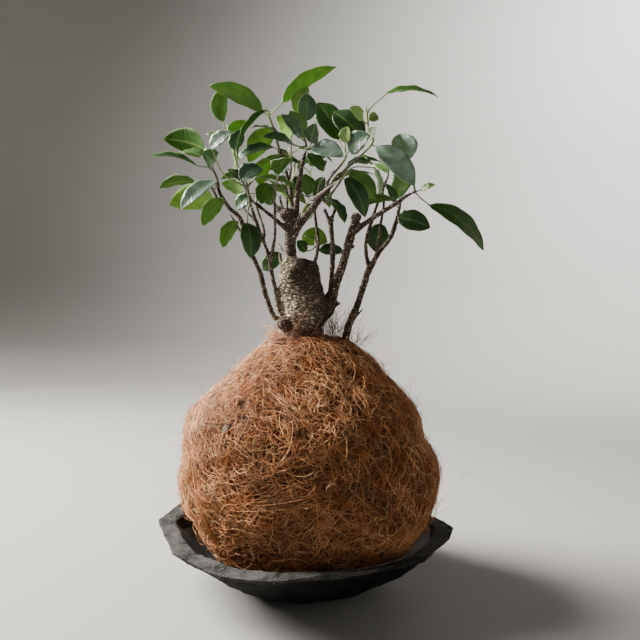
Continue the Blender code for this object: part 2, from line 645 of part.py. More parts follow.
def ball_solid(sides, inset, skip):
    """The lumpy ball as a closed solid, some millimetres inside its outer surface."""
    outline = BALL_OUTLINE[::skip] + (() if (len(BALL_OUTLINE) - 1) % skip == 0 else BALL_OUTLINE[-1:])
    points = []
    for height, radius in outline:
        for k in range(sides):
            turn = math.tau * k / sides
            reach = ball_radius(turn, height, radius)
            place = Vector((BALL_CENTRE.x + reach * math.cos(turn), reach * math.sin(turn), height))
            away = place - BALL_CENTRE
            points.append(BALL_CENTRE + away * (1 - inset / away.length))
    top = BALL_CENTRE + Vector((0, 0, BALL_TOP - BALL_CENTRE.z - inset))
    faces = split_alike(ring_faces(len(outline), sides)[:-1])
    last = len(points) - sides
    faces += [(last + k, last + (k + 1) % sides, len(points)) for k in range(sides)]
    return points + [top], faces


def ball_surface(turn, height):
    """The point of the ball's outer surface at a turn and a height."""
    for (low, radius), (high, next_radius) in zip(BALL_OUTLINE, BALL_OUTLINE[1:]):
        if height <= high:
            share = (height - low) / (high - low)
            reach = ball_radius(turn, height, radius + (next_radius - radius) * share)
            return Vector((BALL_CENTRE.x + reach * math.cos(turn), reach * math.sin(turn), height))


def strand_solid(number):
    """A coir strand that leaves the felt, runs over it in a loop and goes back in."""
    draw = random.Random(SEED + number)
    low, high = STRAND_HEIGHTS
    turn = number * GOLDEN_ANGLE
    height = low + (high - low) * ((number * 0.618) % 1.0)
    heading = draw.uniform(0, math.tau)
    bend = draw.uniform(-0.35, 0.35)
    stride = draw.uniform(*STRAND_STRIDE)
    path = []
    for step in range(STRAND_STEPS + 1):
        surface = ball_surface(turn, height)
        away = (surface - BALL_CENTRE).normalized()
        lift = STRAND_RISE * math.sin(math.pi * step / STRAND_STEPS) - STRAND_SINK
        path.append(surface + away * lift)
        turn += stride * math.cos(heading) / math.hypot(surface.x, surface.y)
        height = min(high, max(low, height + stride * math.sin(heading) * 0.8))
        heading += bend
    return tube(path, [STRAND_RADIUS] * len(path), 3)


# Trunk


def round_rings(rings, grow):
    """Plain round rings of the trunk's foot, grown by a gap where they cut a hole."""
    spread = grow / math.cos(math.pi / TRUNK_SIDES)
    return [
        Vector((x + (radius + spread) * math.cos(math.tau * k / TRUNK_SIDES),
                (radius + spread) * math.sin(math.tau * k / TRUNK_SIDES), height))
        for height, x, radius in rings for k in range(TRUNK_SIDES)
    ]


def trunk_solid():
    """The swollen trunk: a plain round foot in the soil, then knobbly rings up to the slanted cut."""
    points = round_rings(ROOT_RINGS, 0.0)
    for rank, (height, x, radius) in enumerate(TRUNK_RINGS):
        for k in range(TRUNK_SIDES):
            turn = math.tau * k / TRUNK_SIDES
            knob = 0.055 * math.sin(3 * turn + 0.9 * rank) + 0.04 * math.sin(5 * turn - 1.7 * rank)
            reach = radius * (1 + knob)
            slant = 0.16 * reach * math.cos(turn + 2.6) if rank == len(TRUNK_RINGS) - 1 else 0
            points.append(Vector((x + reach * math.cos(turn), reach * math.sin(turn), height + slant)))
    return points, ring_faces(len(ROOT_RINGS) + len(TRUNK_RINGS), TRUNK_SIDES)


def trunk_cutter():
    """The hole that the trunk's foot stands in."""
    low, top = ROOT_RINGS[0], ROOT_RINGS[-1]
    rings = ((low[0] - GAP, low[1], low[2]), *ROOT_RINGS[1:], (top[0] + 12, top[1], top[2]))
    return round_rings(rings, GAP), ring_faces(len(rings), TRUNK_SIDES)


def side_foot_path(beyond):
    """The straight middle line of the side stem's foot, lengthened at both ends."""
    run = (SIDE_NECK - SIDE_FOOT).normalized()
    return [SIDE_FOOT - run * beyond, SIDE_NECK + run * beyond * 10]


def side_cutter():
    """The hole that the side stem's foot stands in."""
    return tube(side_foot_path(GAP), [SIDE_RADIUS + GAP / math.cos(math.pi / SIDE_SIDES)] * 2, SIDE_SIDES)


# Making the objects


def clear_scene():
    """Empties the scene."""
    for thing in list(bpy.data.objects):
        bpy.data.objects.remove(thing)


def material(name, colour, roughness, metallic=0.0):
    """A plain Principled material."""
    finish = bpy.data.materials.new(name)
    finish.use_nodes = True
    shader = finish.node_tree.nodes["Principled BSDF"]
    shader.inputs["Base Color"].default_value = (*colour, 1.0)
    shader.inputs["Roughness"].default_value = roughness
    shader.inputs["Metallic"].default_value = metallic
    return finish


def carved_wood():
    """Near-black carved wood."""
    return material("carved_wood", (0.035, 0.033, 0.032), 0.75)


def coir():
    """Orange-brown coconut fibre."""
    return material("coir", (0.36, 0.17, 0.07), 0.95)


def soil():
    """Dark potting soil."""
    return material("soil", (0.05, 0.035, 0.025), 0.95)


def bark():
    """Grey-brown fig bark."""
    return material("bark", (0.16, 0.125, 0.095), 0.9)


def leaf_green():
    """Glossy fig leaf."""
    return material("leaf", (0.06, 0.17, 0.03), 0.35)


def make_object(name, solid, finish=None, round_shading=False):
    """One object from a solid in millimetres."""
    points, faces = solid
    mesh = bpy.data.meshes.new(name)
    mesh.from_pydata([point * MM for point in points], [], faces)
    mesh.update()
    thing = bpy.data.objects.new(name, mesh)
    bpy.context.scene.collection.objects.link(thing)
    if finish:
        mesh.materials.append(finish)
    if round_shading:
        mesh.shade_smooth()
        mesh.set_sharp_from_angle(angle=math.radians(50))
    return thing


def combine(thing, solids, operation, solver="EXACT"):
    """Joins or cuts all the solids in one Boolean, and applies it."""
    group = bpy.data.collections.new("helpers")
    helpers = []
    for rank, solid in enumerate(solids):
        helper = make_object(f"helper_{rank}", solid)
        bpy.context.scene.collection.objects.unlink(helper)
        group.objects.link(helper)
        helpers.append(helper)
    cut = thing.modifiers.new("combine", "BOOLEAN")
    cut.operation = operation
    cut.operand_type = "COLLECTION"
    cut.collection = group
    cut.solver = solver
    bpy.context.view_layer.update()
    result = bpy.data.meshes.new_from_object(thing.evaluated_get(bpy.context.evaluated_depsgraph_get()))
    thing.modifiers.clear()
    thing.data = result
    for helper in helpers:
        bpy.data.objects.remove(helper)
    bpy.data.collections.remove(group)
    return thing


def keep_body(thing):
    """Drops what joining left inside or beside the body: sealed hollows and loose scraps."""
    shape = bmesh.new()
    shape.from_mesh(thing.data)
    left = set(shape.verts)
    bodies = []
    while left:
        body = {left.pop()}
        edge = list(body)
        while edge:
            near = {e.other_vert(v) for v in edge for e in v.link_edges} & left
            left -= near
            body |= near
            edge = list(near)
        bodies.append(body)
    bodies.sort(key=len)
    scraps = [vertex for body in bodies[:-1] for vertex in body]
    bmesh.ops.delete(shape, geom=scraps, context="VERTS")
    shape.to_mesh(thing.data)
    shape.free()


def build_dish():
    """The dish."""
    return make_object("dish", dish_solid(), carved_wood())


def build_wrap():
    """The coir wrap: a thick shell round the soil with holes for trunk and side stem."""
    wrap = make_object("coir_wrap", ball_solid(BALL_SIDES, 0.0, 1), coir(), True)
    combine(wrap, [strand_solid(number) for number in range(STRAND_COUNT)], "UNION", "MANIFOLD")
    for cutter in (ball_solid(SOIL_SIDES, WRAP_THICKNESS, 2), trunk_cutter(), side_cutter()):
        combine(wrap, [cutter], "DIFFERENCE")
    return wrap


def build_soil():
    """The root ball, with a plain hole for each of the two stems."""
    ball = make_object("soil_ball", ball_solid(SOIL_SIDES, WRAP_THICKNESS + GAP, 2), soil(), True)
    for cutter in (trunk_cutter(), side_cutter()):
        combine(ball, [cutter], "DIFFERENCE")
    return ball


def trunk_pieces():
    """The trunk's solids: the swollen foot first, then all that grows from it."""
    stems = [stem_solid(stem) for stem in (*FIG_STEMS.values(), *FIG_STUBS)]
    return [trunk_solid(), *stems, *(knot(place, radius) for place, radius in FIG_KNOTS)]


def side_pieces():
    """The side stem's solids: its straight foot first, then its bends, prongs and broken twigs."""
    foot = side_foot_path(0.0)
    bend = [foot[-1], *(from_front(place) for place in SIDE_STEMS["side_stem"].route)]
    trunk = smooth_path(bend, 2)
    radii = [SIDE_RADIUS, *taper(len(trunk), SIDE_RADIUS, SIDE_STEMS["side_stem"].tip)]
    main = tube([foot[0], *trunk], radii, SIDE_SIDES)
    rest = [stem_solid(stem) for name, stem in SIDE_STEMS.items() if name != "side_stem"]
    return [main, *rest, *(stem_solid(stem) for stem in SIDE_STUBS)]


def build_wood():
    """The fig's trunk and the side stem, each one grown piece."""
    for name, pieces in (("fig_trunk", trunk_pieces()), ("side_stem", side_pieces())):
        wood = make_object(name, pieces[0], bark(), True)
        combine(wood, pieces[1:], "UNION")
        keep_body(wood)


def build_shoots():
    """Each leafy shoot: its twig with the stalks and blades that grow from it."""
    green = leaf_green()
    stems = {**FIG_STEMS, **SIDE_STEMS}
    wood = trunk_pieces() + side_pieces()
    for shoot, twig, leaves in plan_shoots(stems, wood):
        thing = make_object(f"shoot_{shoot.name}", twig_solid(twig), green)
        parts = [petiole_solid(root, blade) for blade, root in leaves]
        parts += [blade_solid(blade) for blade, _ in leaves]
        combine(thing, parts, "UNION")
        keep_body(thing)


def main():
    """Builds the whole kokedama."""
    clear_scene()
    build_dish()
    build_soil()
    build_wrap()
    build_wood()
    build_shoots()


main()
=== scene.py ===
"""Looks of the ficus kokedama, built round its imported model.

A ginseng fig stands in a ball of coir fibre in a low carved dish. Sizes and places are in
millimetres, as the maker's drawing gives them, and become metres when a mesh is made. Places on
stems and leaves are (x, z, y): x and z as they stand in the front elevation, drawn in
perspective from EYE, and y the depth.
"""
import logging
import math
import random
from collections.abc import Sequence
from dataclasses import dataclass, field
from enum import Enum
from typing import NamedTuple

import bpy
import numpy as np
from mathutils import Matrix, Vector, noise


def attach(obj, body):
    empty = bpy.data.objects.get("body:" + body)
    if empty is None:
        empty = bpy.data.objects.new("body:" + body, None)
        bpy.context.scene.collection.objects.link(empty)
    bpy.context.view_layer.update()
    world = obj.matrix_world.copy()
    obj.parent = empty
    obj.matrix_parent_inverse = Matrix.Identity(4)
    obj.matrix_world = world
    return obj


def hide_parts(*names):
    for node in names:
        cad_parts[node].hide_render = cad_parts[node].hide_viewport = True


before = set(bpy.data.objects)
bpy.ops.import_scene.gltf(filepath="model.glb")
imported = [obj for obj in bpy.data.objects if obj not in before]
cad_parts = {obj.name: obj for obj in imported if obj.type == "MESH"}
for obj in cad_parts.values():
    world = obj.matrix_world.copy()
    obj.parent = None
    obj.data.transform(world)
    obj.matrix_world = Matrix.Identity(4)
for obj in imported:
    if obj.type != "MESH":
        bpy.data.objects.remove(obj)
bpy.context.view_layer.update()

log = logging.getLogger("kokedama")

MM = 0.001
GAP = 0.3
SEED = 27
NEAR_ZERO = 1e-9
EYE = Vector((7.0, -546.0, 223.0))

Place = tuple[float, float, float]
Colour = tuple[float, float, float]
Thing = bpy.types.Object
Socket = bpy.types.NodeSocket
Material = bpy.types.Material
Rows = np.ndarray


class Look(Enum):
    """How a leaf looks: lightness of its green, blue cast, and a pale painted sheen that stands for
    reflected light, strongest in the silver and sheen looks.
    """

    # BRIGHT's light green is partly painted light, for light glowing through a leaf from behind.
    BRIGHT = (0.90, 0.0, 0.05)
    FRESH = (0.68, 0.05, 0.10)
    MIDDLE = (0.42, 0.15, 0.0)
    DEEP = (0.16, 0.25, 0.0)
    BLUE = (0.22, 0.75, 0.15)
    SILVER_SHEEN = (0.40, 0.70, 0.75)
    OLIVE = (0.58, 0.0, 0.10)
    YOUNG = (1.0, 0.0, 0.1)
    SHEEN = (0.66, 0.35, 0.80)
    # LUSH is the darkest green: painted shade for a leaf whose near face gets only light from
    # behind.
    LUSH = (0.02, 0.0, 0.0)


class Stem(NamedTuple):
    """A stem's route and its radius at each end."""

    route: tuple[Place, ...]
    base: float
    tip: float


class Leaf(NamedTuple):
    """A leaf as drawn: foot, tip, width, turn from the viewer, fold, look, and bend to one side."""

    base: Place
    tip: Place
    width: float
    turn: float
    fold: float
    look: Look
    bend: float = 0.0


class Shoot(NamedTuple):
    """A leafy shoot: the share of its stem where it springs, its twig and its leaves."""

    name: str
    stem: str
    at: float
    twig: tuple[Place, ...]
    leaves: tuple[Leaf, ...]


class Blade(NamedTuple):
    """A leaf blade's foot and tip in space, and the direction that its upper face looks in."""

    base: Vector
    tip: Vector
    normal: Vector


class Wave(NamedTuple):
    """A slow lump round the ball: rise, how many, slant, start, and the swirl that bends it."""

    rise: float
    count: int
    slant: float
    start: float
    swirl: float = 0.0
    swirl_count: int = 0
    swirl_slant: float = 0.0


class Mound(NamedTuple):
    """A swelling of the ball: rise, level, spread up and down, side, and how narrow it is."""

    rise: float
    level: float
    spread: float
    side: float
    power: int


class Lay(NamedTuple):
    """Fibres of one kind, and how they lie.

    combed is the share that follows the mat's grain, lift how deep or proud they lie, and spring
    how far a loose middle or end rises.
    """

    count: int
    steps: int
    length: tuple[float, float]
    bend: tuple[float, float]
    combed: float
    lift: tuple[float, float]
    radius: tuple[float, float]
    tone: tuple[float, float]
    spring: float


class Sheaf(NamedTuple):
    """Long strands that lie side by side, from x, z to x, z of the front elevation."""

    start: tuple[float, float]
    end: tuple[float, float]
    count: int
    spread: float


class Tuft(NamedTuple):
    """Fine hairs that stand up together: foot, spread, number, length, lean and tone."""

    foot: Vector
    spread: Vector
    count: int
    length: tuple[float, float]
    lean: Vector
    tone: float


FIG_STEMS = {
    "main": Stem((
        (-13, 234, 0), (-16, 247, 0), (-17, 260, 0), (-17, 272, 0), (-21, 283, -2)), 5.0, 4.4),
    "upper_left": Stem((
        (-18, 270, -1), (-16, 284, 0), (-18, 301, 10), (-22, 317, 18), (-27, 332, 16)), 2.0, 1.3),
    "upper_right": Stem((
        (-16, 266, 0), (-13, 282, -1), (-12, 301, -3), (-9, 322, -6), (-7, 330, -8)), 2.8, 1.5),
    "right_fork": Stem((
        (-17, 262, -1), (-12, 272, -3), (0, 288, -12), (11, 302, -18), (23, 316, -24)), 4.3, 1.2),
    "left_branch": Stem(((-17, 268, 0), (-23, 273, -4), (-34, 282, -8), (-46, 291, -11)), 2.0, 1.3),
    "left_outer": Stem((
        (-18, 196, 3), (-28, 202, 2), (-36, 221, 1), (-40, 236, 0), (-48, 253, -4), (-53, 268, -7),
        (-57, 279, -9), (-65, 286, -11), (-73, 298, -13), (-75, 307, -14)), 2.3, 1.4),
    "left_stem": Stem((
        (-16, 201, -5), (-24, 207, -8), (-28, 224, -9), (-31, 236, -10), (-34, 251, -12),
        (-41, 268, -14), (-48, 287, -17)), 2.2, 1.3),
    "left_spur": Stem((
        (-32, 246, -11), (-30, 258, -15), (-29, 271, -18), (-30, 292, -22)), 1.5, 1.1),
    "left_fork": Stem(((-38, 262, -13), (-38, 270, -5), (-41, 279, 4), (-44, 288, 9)), 1.5, 1.1),
    "middle": Stem(((2, 238, 5), (3, 247, 7), (5, 260, 12), (3, 274, 16), (1, 289, 20)), 1.7, 1.2),
    "right_stem": Stem((
        (6, 200, 2), (15, 208, 0), (19, 228, -2), (24, 243, -4), (28, 259, -6), (31, 270, -7),
        (34, 280, -7)), 3.7, 3.3),
    "right_branch": Stem((
        (30, 267, -7), (39, 275, -9), (47, 281, -12), (56, 287, -15), (64, 292, -18),
        (72, 298, -20),
        (77, 301, -21)), 2.4, 1.3),
    "right_back_stem": Stem((
        (6, 214, 4), (14, 222, 6), (16, 239, 8), (16, 258, 10), (14, 278, 10)), 2.2, 2.0),
}
FIG_STUBS = (
    Stem(((14, 274, 10), (12, 280, 9), (9, 287, 7)), 1.5, 1.4),
    Stem(((14, 274, 10), (15, 280, 10), (18, 288, 10)), 1.5, 1.4),
    Stem(((27, 255, -6), (30, 257, -9), (33, 259, -11)), 1.5, 1.2),
    Stem(((-22, 284, -2), (-25, 291, -3), (-26, 297, -4)), 1.0, 0.9),
    Stem(((-22, 284, -2), (-28, 288, 0), (-33, 293, 1)), 1.0, 0.9),
    Stem(((-20, 282, -3), (-20, 290, -7), (-21, 296, -9)), 1.0, 0.9),
    Stem(((-20, 238, 2), (-24, 246, 5), (-25, 252, 7)), 1.6, 1.2),
    Stem(((-13, 274, -4), (-6, 290, -22), (5, 299, -29), (20, 310, -34)), 0.9, 0.7),
    Stem(((9, 300, -16), (12, 309, -14), (16, 318, -15)), 0.9, 0.7),
    Stem(((2, 290, -12), (4, 302, -10), (9, 312, -9)), 0.9, 0.7),
    Stem(((-16, 290, 3), (-21, 300, 3), (-26, 309, 1), (-29, 316, 0)), 0.9, 0.7),
    Stem(((-44, 276, -15), (-49, 281, -11), (-55, 287, -9)), 1.1, 0.8),
)
FIG_KNOTS = (
    ((-20, 197, -12), 5.6), ((-20, 282, -1), 5.9), ((-26, 286, 1), 3.2), ((34, 281, -7), 4.1),
    ((12, 211, -4), 5.0), ((14, 278, 10), 2.9),
)
SIDE_STEMS = {
    "side_stem": Stem(((35, 209, -2), (40, 225, 1), (44, 239, 4), (46, 244, 6)), 3.0, 2.4),
    "side_left": Stem((
        (45, 240, 5), (42, 256, 8), (43, 268, 11), (49, 288, 18), (53, 301, 22),
        (57, 311, 24)), 1.8, 1.2),
    "side_right": Stem((
        (45, 239, 5), (51, 252, 4), (61, 266, 1), (65, 278, -1), (67, 286, -3)), 2.2, 1.6),
    "side_inner": Stem((
        (49, 249, 4), (52, 262, 6), (53, 276, 8), (55, 290, 11), (54, 306, 14)), 1.4, 1.1),
}
SIDE_STUBS = (
    Stem(((29, 197, -4), (34, 202, -8), (41, 210, -11)), 0.9, 0.8),
    Stem(((63, 274, -1), (69, 282, 4), (72, 288, 6)), 1.3, 1.1),
)
SIDE_FOOT = Vector((20.0, -3.0, 148.0))
SIDE_NECK = Vector((29.5, -3.0, 196.0))

SHOOTS = (
    Shoot("left_top", "left_outer", 1.0, ((-79, 317, -14), (-83, 328, -9)), (
        Leaf((-85, 331, -6), (-118, 339, 20), 23, 156, 12, Look.LUSH),
        Leaf((-79, 319, -20), (-88, 329, -38), 16, 35, 30, Look.BLUE),
        Leaf((-91, 318, -14), (-129, 324, -24), 16, 78, 20, Look.DEEP),
        Leaf((-87, 325, -7), (-106, 327, 9), 14, 70, 18, Look.MIDDLE),
    )),
    Shoot("left_low", "left_outer", 0.9, ((-79, 301, -14), (-85, 304, -12)), (
        Leaf((-90, 305, -10), (-120, 300, 4), 14, 125, 18, Look.MIDDLE),
        Leaf((-78, 295, -4), (-112, 287, 18), 23, 158, 10, Look.BRIGHT),
        Leaf((-77, 307, -24), (-103, 284, -42), 14, 38, 18, Look.SILVER_SHEEN),
        Leaf((-69, 293, -17), (-86, 272, -24), 16, 140, 14, Look.FRESH),
    )),
    Shoot("left_mid", "left_outer", 0.66, ((-61, 276, -15),), (
        Leaf((-58, 276, -16), (-70, 255, -20), 15, 135, 14, Look.FRESH),
    )),
    Shoot("left_inner", "left_stem", 1.0, ((-50, 296, -18), (-52, 305, -20)), (
        Leaf((-42, 319, -26), (-57, 307, -38), 17, 40, 16, Look.BLUE),
        Leaf((-55, 306, -21), (-68, 316, -18), 14, 60, 16, Look.DEEP),
        Leaf((-51, 275, -25), (-48, 247, -34), 17, 25, 16, Look.DEEP),
        Leaf((-81, 332, -35), (-65, 346, -34), 12, 40, 14, Look.SILVER_SHEEN),
        Leaf((-45, 310, -19), (-13, 302, -13), 12, 108, 12, Look.MIDDLE),
    )),
    Shoot("left_spur", "left_spur", 1.0, ((-30, 299, -22), (-29, 306, -24)), (
        Leaf((-35, 306, -20), (-41, 290, -26), 14, 140, 16, Look.MIDDLE),
        Leaf((-27, 313, -30), (-19, 326, -63), 16, 132, 14, Look.MIDDLE),
    )),
    Shoot("left_back", "left_fork", 1.0, ((-44, 294, 16), (-43, 301, 30), (-41, 309, 42)), (
        Leaf((-40, 304, 22), (-32, 289, 30), 15, 30, 16, Look.MIDDLE),
        Leaf((-55, 299, 26), (-72, 305, 34), 13, 150, 14, Look.FRESH),
        Leaf((-48, 296, 20), (-60, 286, 28), 13, 30, 14, Look.DEEP),
        Leaf((-37, 303, 34), (-5, 290, 55), 18, 118, 13, Look.MIDDLE),
        Leaf((-45, 309, 42), (-72, 308, 62), 15, 109, 12, Look.DEEP),
        Leaf((-37, 309, 47), (-16, 286, 72), 17, 111, 13, Look.FRESH),
    )),
    Shoot("left_crest", "left_branch", 1.0, (
        (-53, 302, -12), (-59, 317, -12), (-63, 331, -10), (-67, 345, -8)), (
        Leaf((-72, 353, -10), (-70, 381, -14), 15, 150, 42, Look.FRESH),
        Leaf((-63, 331, -16), (-57, 347, -14), 12, 20, 16, Look.BLUE),
        Leaf((-67, 337, 4), (-51, 354, 22), 16, 150, 14, Look.BRIGHT),
        Leaf((-74, 341, -2), (-85, 343, 6), 6, 60, 14, Look.MIDDLE),
        Leaf((-62, 317, 2), (-66, 335, 10), 9, 120, 16, Look.FRESH),
    )),
    Shoot("crest_left", "upper_left", 0.7, ((-18, 322, 28), (-19, 329, 31)), (
        Leaf((-31, 334, 17), (-60, 324, 12), 16, 62, 16, Look.BLUE),
        Leaf((-36, 326, 26), (-42, 304, 32), 15, 150, 14, Look.BRIGHT),
        Leaf((-21, 319, 3), (-30, 309, -8), 10, 40, 20, Look.SILVER_SHEEN),
        Leaf((-18, 342, 14), (-30, 359, 20), 15, 148, 14, Look.BRIGHT),
        Leaf((-29, 333, 31), (-19, 321, 39), 9, 40, 16, Look.DEEP),
        Leaf((-13, 333, 33), (15, 323, 42), 15, 84, 19, Look.MIDDLE),
    )),
    Shoot("crest", "upper_left", 1.0, ((-30, 342, 10), (-33, 351, 4), (-37, 361, -2)), (
        Leaf((-41, 362, -9), (-83, 381, -28), 18, 140, 16, Look.FRESH),
        Leaf((-38, 363, -14), (-60, 324, -32), 15, 102, 20, Look.DEEP),
        Leaf((-26, 369, -2), (16, 398, 8), 15, 142, 18, Look.BRIGHT),
        Leaf((-33, 349, 16), (-51, 322, 26), 20, 152, 12, Look.BRIGHT),
        Leaf((-28, 345, -7), (-51, 349, -2), 14, 86, 14, Look.BLUE),
    )),
    Shoot("crown", "upper_right", 1.0, ((-6, 335, -10), (-8, 343, -12)), (
        Leaf((-8, 342, -16), (-20, 363, -22), 14, 18, 12, Look.OLIVE),
        Leaf((-11, 342, -22), (-27, 360, -36), 11, 40, 16, Look.BLUE),
        Leaf((-7, 355, -14), (-7, 377, -16), 15, 15, 14, Look.BLUE),
        Leaf((-2, 338, -26), (1, 354, -38), 13, 30, 16, Look.DEEP),
        Leaf((-16, 362, 4), (-5, 381, 6), 13, 150, 18, Look.YOUNG),
        Leaf((-2, 335, -22), (23, 328, -40), 16, 34, 12, Look.SILVER_SHEEN),
        Leaf((-16, 336, -14), (-40, 342, -28), 12, 58, 18, Look.BLUE),
        Leaf((-5, 330, -14), (8, 316, -18), 11, 30, 14, Look.MIDDLE),
    )),
    Shoot("crown_right", "right_fork", 0.8, ((24, 326, -26), (24, 334, -24)), (
        Leaf((19, 341, -10), (2, 370, 0), 21, 22, 14, Look.MIDDLE),
        Leaf((24, 339, -30), (26, 352, -36), 10, 25, 24, Look.YOUNG),
        Leaf((27, 333, -30), (43, 346, -44), 17, 30, 14, Look.BLUE),
        Leaf((15, 336, -6), (6, 325, -12), 12, 120, 16, Look.MIDDLE),
    )),
    Shoot("right_top", "right_fork", 1.0, ((45, 339, -28), (42, 349, -24), (40, 363, -22)), (
        Leaf((49, 337, -30), (79, 306, -46), 20, 32, 8, Look.SHEEN),
        Leaf((38, 342, -18), (14, 363, -10), 21, 25, 14, Look.DEEP),
        Leaf((37, 357, -26), (27, 367, -34), 10, 40, 14, Look.YOUNG),
        Leaf((42, 357, -20), (49, 361, -16), 8, 15, 20, Look.YOUNG),
        Leaf((54, 377, -20), (96, 376, -14), 16, 76, 16, Look.MIDDLE),
        Leaf((45, 345, -27), (48, 352, -46), 9, 40, 16, Look.SILVER_SHEEN),
    )),
    Shoot("right_fan", "right_fork", 0.62, ((21, 309, -20),), (
        Leaf((25, 312, -21), (41, 281, -23), 15, 22, 14, Look.DEEP, -0.12),
        Leaf((28, 315, -14), (49, 296, -8), 17, 158, 10, Look.OLIVE),
        Leaf((26, 322, -17), (45, 324, -19), 12, 68, 16, Look.DEEP),
        Leaf((10, 296, -27), (25, 276, -42), 13, 58, 16, Look.DEEP),
        Leaf((46, 321, 2), (50, 295, 8), 12, 70, 18, Look.FRESH),
    )),
    Shoot("right_end", "right_branch", 1.0, ((78, 308, -20), (77, 317, -18)), (
        Leaf((72, 325, -18), (66, 347, -16), 20, 10, 44, Look.SHEEN),
        Leaf((74, 321, -6), (66, 296, -8), 17, 24, 12, Look.OLIVE),
        Leaf((90, 292, -22), (134, 257, -12), 17, 42, 14, Look.MIDDLE, -0.22),
        Leaf((84, 303, -24), (95, 308, -28), 6, 40, 16, Look.YOUNG),
    )),
    Shoot("right_low", "side_right", 1.0, ((68, 291, -4),), (
        Leaf((66, 282, -8), (92, 274, -14), 17, 22, 12, Look.DEEP),
        Leaf((64, 292, -8), (56, 308, -14), 8, 40, 16, Look.DEEP),
        Leaf((62, 296, -2), (33, 288, 9), 14, 123, 11, Look.MIDDLE),
    )),
    Shoot("right_back", "side_left", 1.0, ((58, 318, 32), (56, 325, 44)), (
        Leaf((59, 325, 49), (73, 309, 78), 16, 113, 18, Look.MIDDLE),
        Leaf((54, 323, 42), (31, 323, 72), 16, 107, 11, Look.DEEP),
        Leaf((59, 328, 29), (67, 330, -8), 15, 106, 17, Look.FRESH),
    )),
    Shoot("right_inner", "side_inner", 1.0, ((53, 312, 20), (48, 319, 30)), (
        Leaf((45, 322, 37), (35, 323, 65), 13, 116, 16, Look.MIDDLE),
        Leaf((46, 315, 27), (14, 308, 48), 17, 102, 13, Look.DEEP),
        Leaf((50, 323, 18), (57, 316, -9), 13, 32, 11, Look.FRESH),
    )),
    Shoot("middle_back", "middle", 1.0, ((1, 296, 26), (-2, 306, 38), (-3, 314, 48)), (
        Leaf((-5, 297, 22), (-6, 314, 30), 14, 25, 12, Look.OLIVE),
        Leaf((3, 296, 24), (7, 312, 34), 13, 30, 12, Look.DEEP),
        Leaf((-10, 298, 29), (-15, 312, 30), 10, 30, 14, Look.DEEP),
        Leaf((2, 291, 34), (-7, 277, 40), 12, 30, 14, Look.OLIVE),
        Leaf((1, 306, 44), (13, 288, 65), 13, 144, 15, Look.MIDDLE),
        Leaf((-8, 320, 51), (-41, 323, 56), 17, 106, 19, Look.DEEP),
        Leaf((-1, 320, 43), (8, 319, 13), 14, 74, 12, Look.FRESH),
    )),
    Shoot("middle_low", "middle", 0.42, ((3, 266, 20),), (
        Leaf((-8, 266, 20), (12, 261, 26), 18, 152, 10, Look.BRIGHT),
        Leaf((5, 254, 18), (25, 254, 24), 12, 38, 14, Look.DEEP),
        Leaf((-5, 253, 12), (-12, 262, 10), 10, 30, 16, Look.DEEP),
    )),
    Shoot("side_low", "side_left", 0.35, ((45, 273, 16),), (
        Leaf((53, 277, 18), (50, 254, 22), 19, 15, 12, Look.DEEP),
    )),
    Shoot("trunk_sprig", "main", 0.38, ((-25, 257, 9),), (
        Leaf((-24, 252, 11), (-38, 238, 14), 13, 12, 14, Look.DEEP),
    )),
    Shoot("centre_back", "upper_left", 0.45, ((-18, 304, 24), (-16, 312, 38), (-15, 320, 50)), (
        Leaf((-21, 314, 43), (-52, 311, 62), 18, 94, 18, Look.MIDDLE),
        Leaf((-20, 309, 37), (-43, 305, 65), 18, 102, 17, Look.DEEP),
        Leaf((-12, 317, 36), (8, 328, 11), 13, 107, 12, Look.FRESH),
        Leaf((-16, 311, 44), (-13, 296, 82), 16, -177, 20, Look.BLUE),
    )),
)

LOOSE_HAIRS = (
    ((-44, 238, 4), (-50, 230, 2), (-53, 223, 0)),
    ((-44, 238, 4), (-47, 231, 6), (-49, 224, 8)),
    ((-51, 203, 6), (-44, 202, 4), (-38, 201, 2)),
    ((-36, 195, -4), (-30, 194, -12), (-25, 190, -20)),
    ((17, 202, 6), (23, 212, 2), (27, 221, 0), (29, 229, -2), (27, 237, -6), (20, 240, -12),
    (10, 235, -18),
     (-3, 223, -22)),
    ((-15, 189, -21), (-9, 198, -24), (-2, 209, -23), (5, 217, -20)),
    ((58, 166, 4), (64, 174, 2), (74, 178, 0)),
    ((12, 188, -8), (20, 199, -10), (30, 211, -8), (34, 216, -6)),
    ((17, 186, -10), (22, 196, -12), (24, 205, -10), (32, 206, -6)),
    ((-86, 132, -10), (-85, 137, -10), (-84, 142, -8)),
    ((-92, 123, -14), (-92, 126, -16), (-95, 128, -16), (-98, 127, -14)),
    ((-93, 121, -12), (-97, 118, -12), (-99, 114, -14)),
    ((-94, 107, -12), (-100, 105, -14), (-104, 102, -16), (-106, 99, -18), (-104, 98, -20)),
    ((-95, 83, -12), (-98, 86, -12), (-100, 88, -10)),
    ((-95, 65, -10), (-98, 70, -12), (-98, 77, -14)),
    ((48, 172, -10), (53, 171, -12), (57, 168, -12), (58, 164, -10), (56, 161, -8)),
    ((74, 145, -10), (80, 145, -12), (83, 143, -12), (84, 138, -10), (81, 134, -8)),
    ((97, 103, -10), (95, 109, -12), (94, 113, -12), (96, 116, -10)),
    ((96, 103, -8), (103, 98, -10), (105, 91, -12), (105, 83, -12), (101, 77, -8)),
    ((31, 181, -12), (33, 188, -12), (37, 192, -10), (41, 193, -8)),
    ((30, 184, -14), (33, 190, -14), (34, 197, -12)),
    ((99, 54, -12), (112, 70, -14), (125, 84, -15), (136, 96, -14)),
    ((101, 62, -16), (105, 69, -18), (109, 74, -18)),
)


# Places and paths


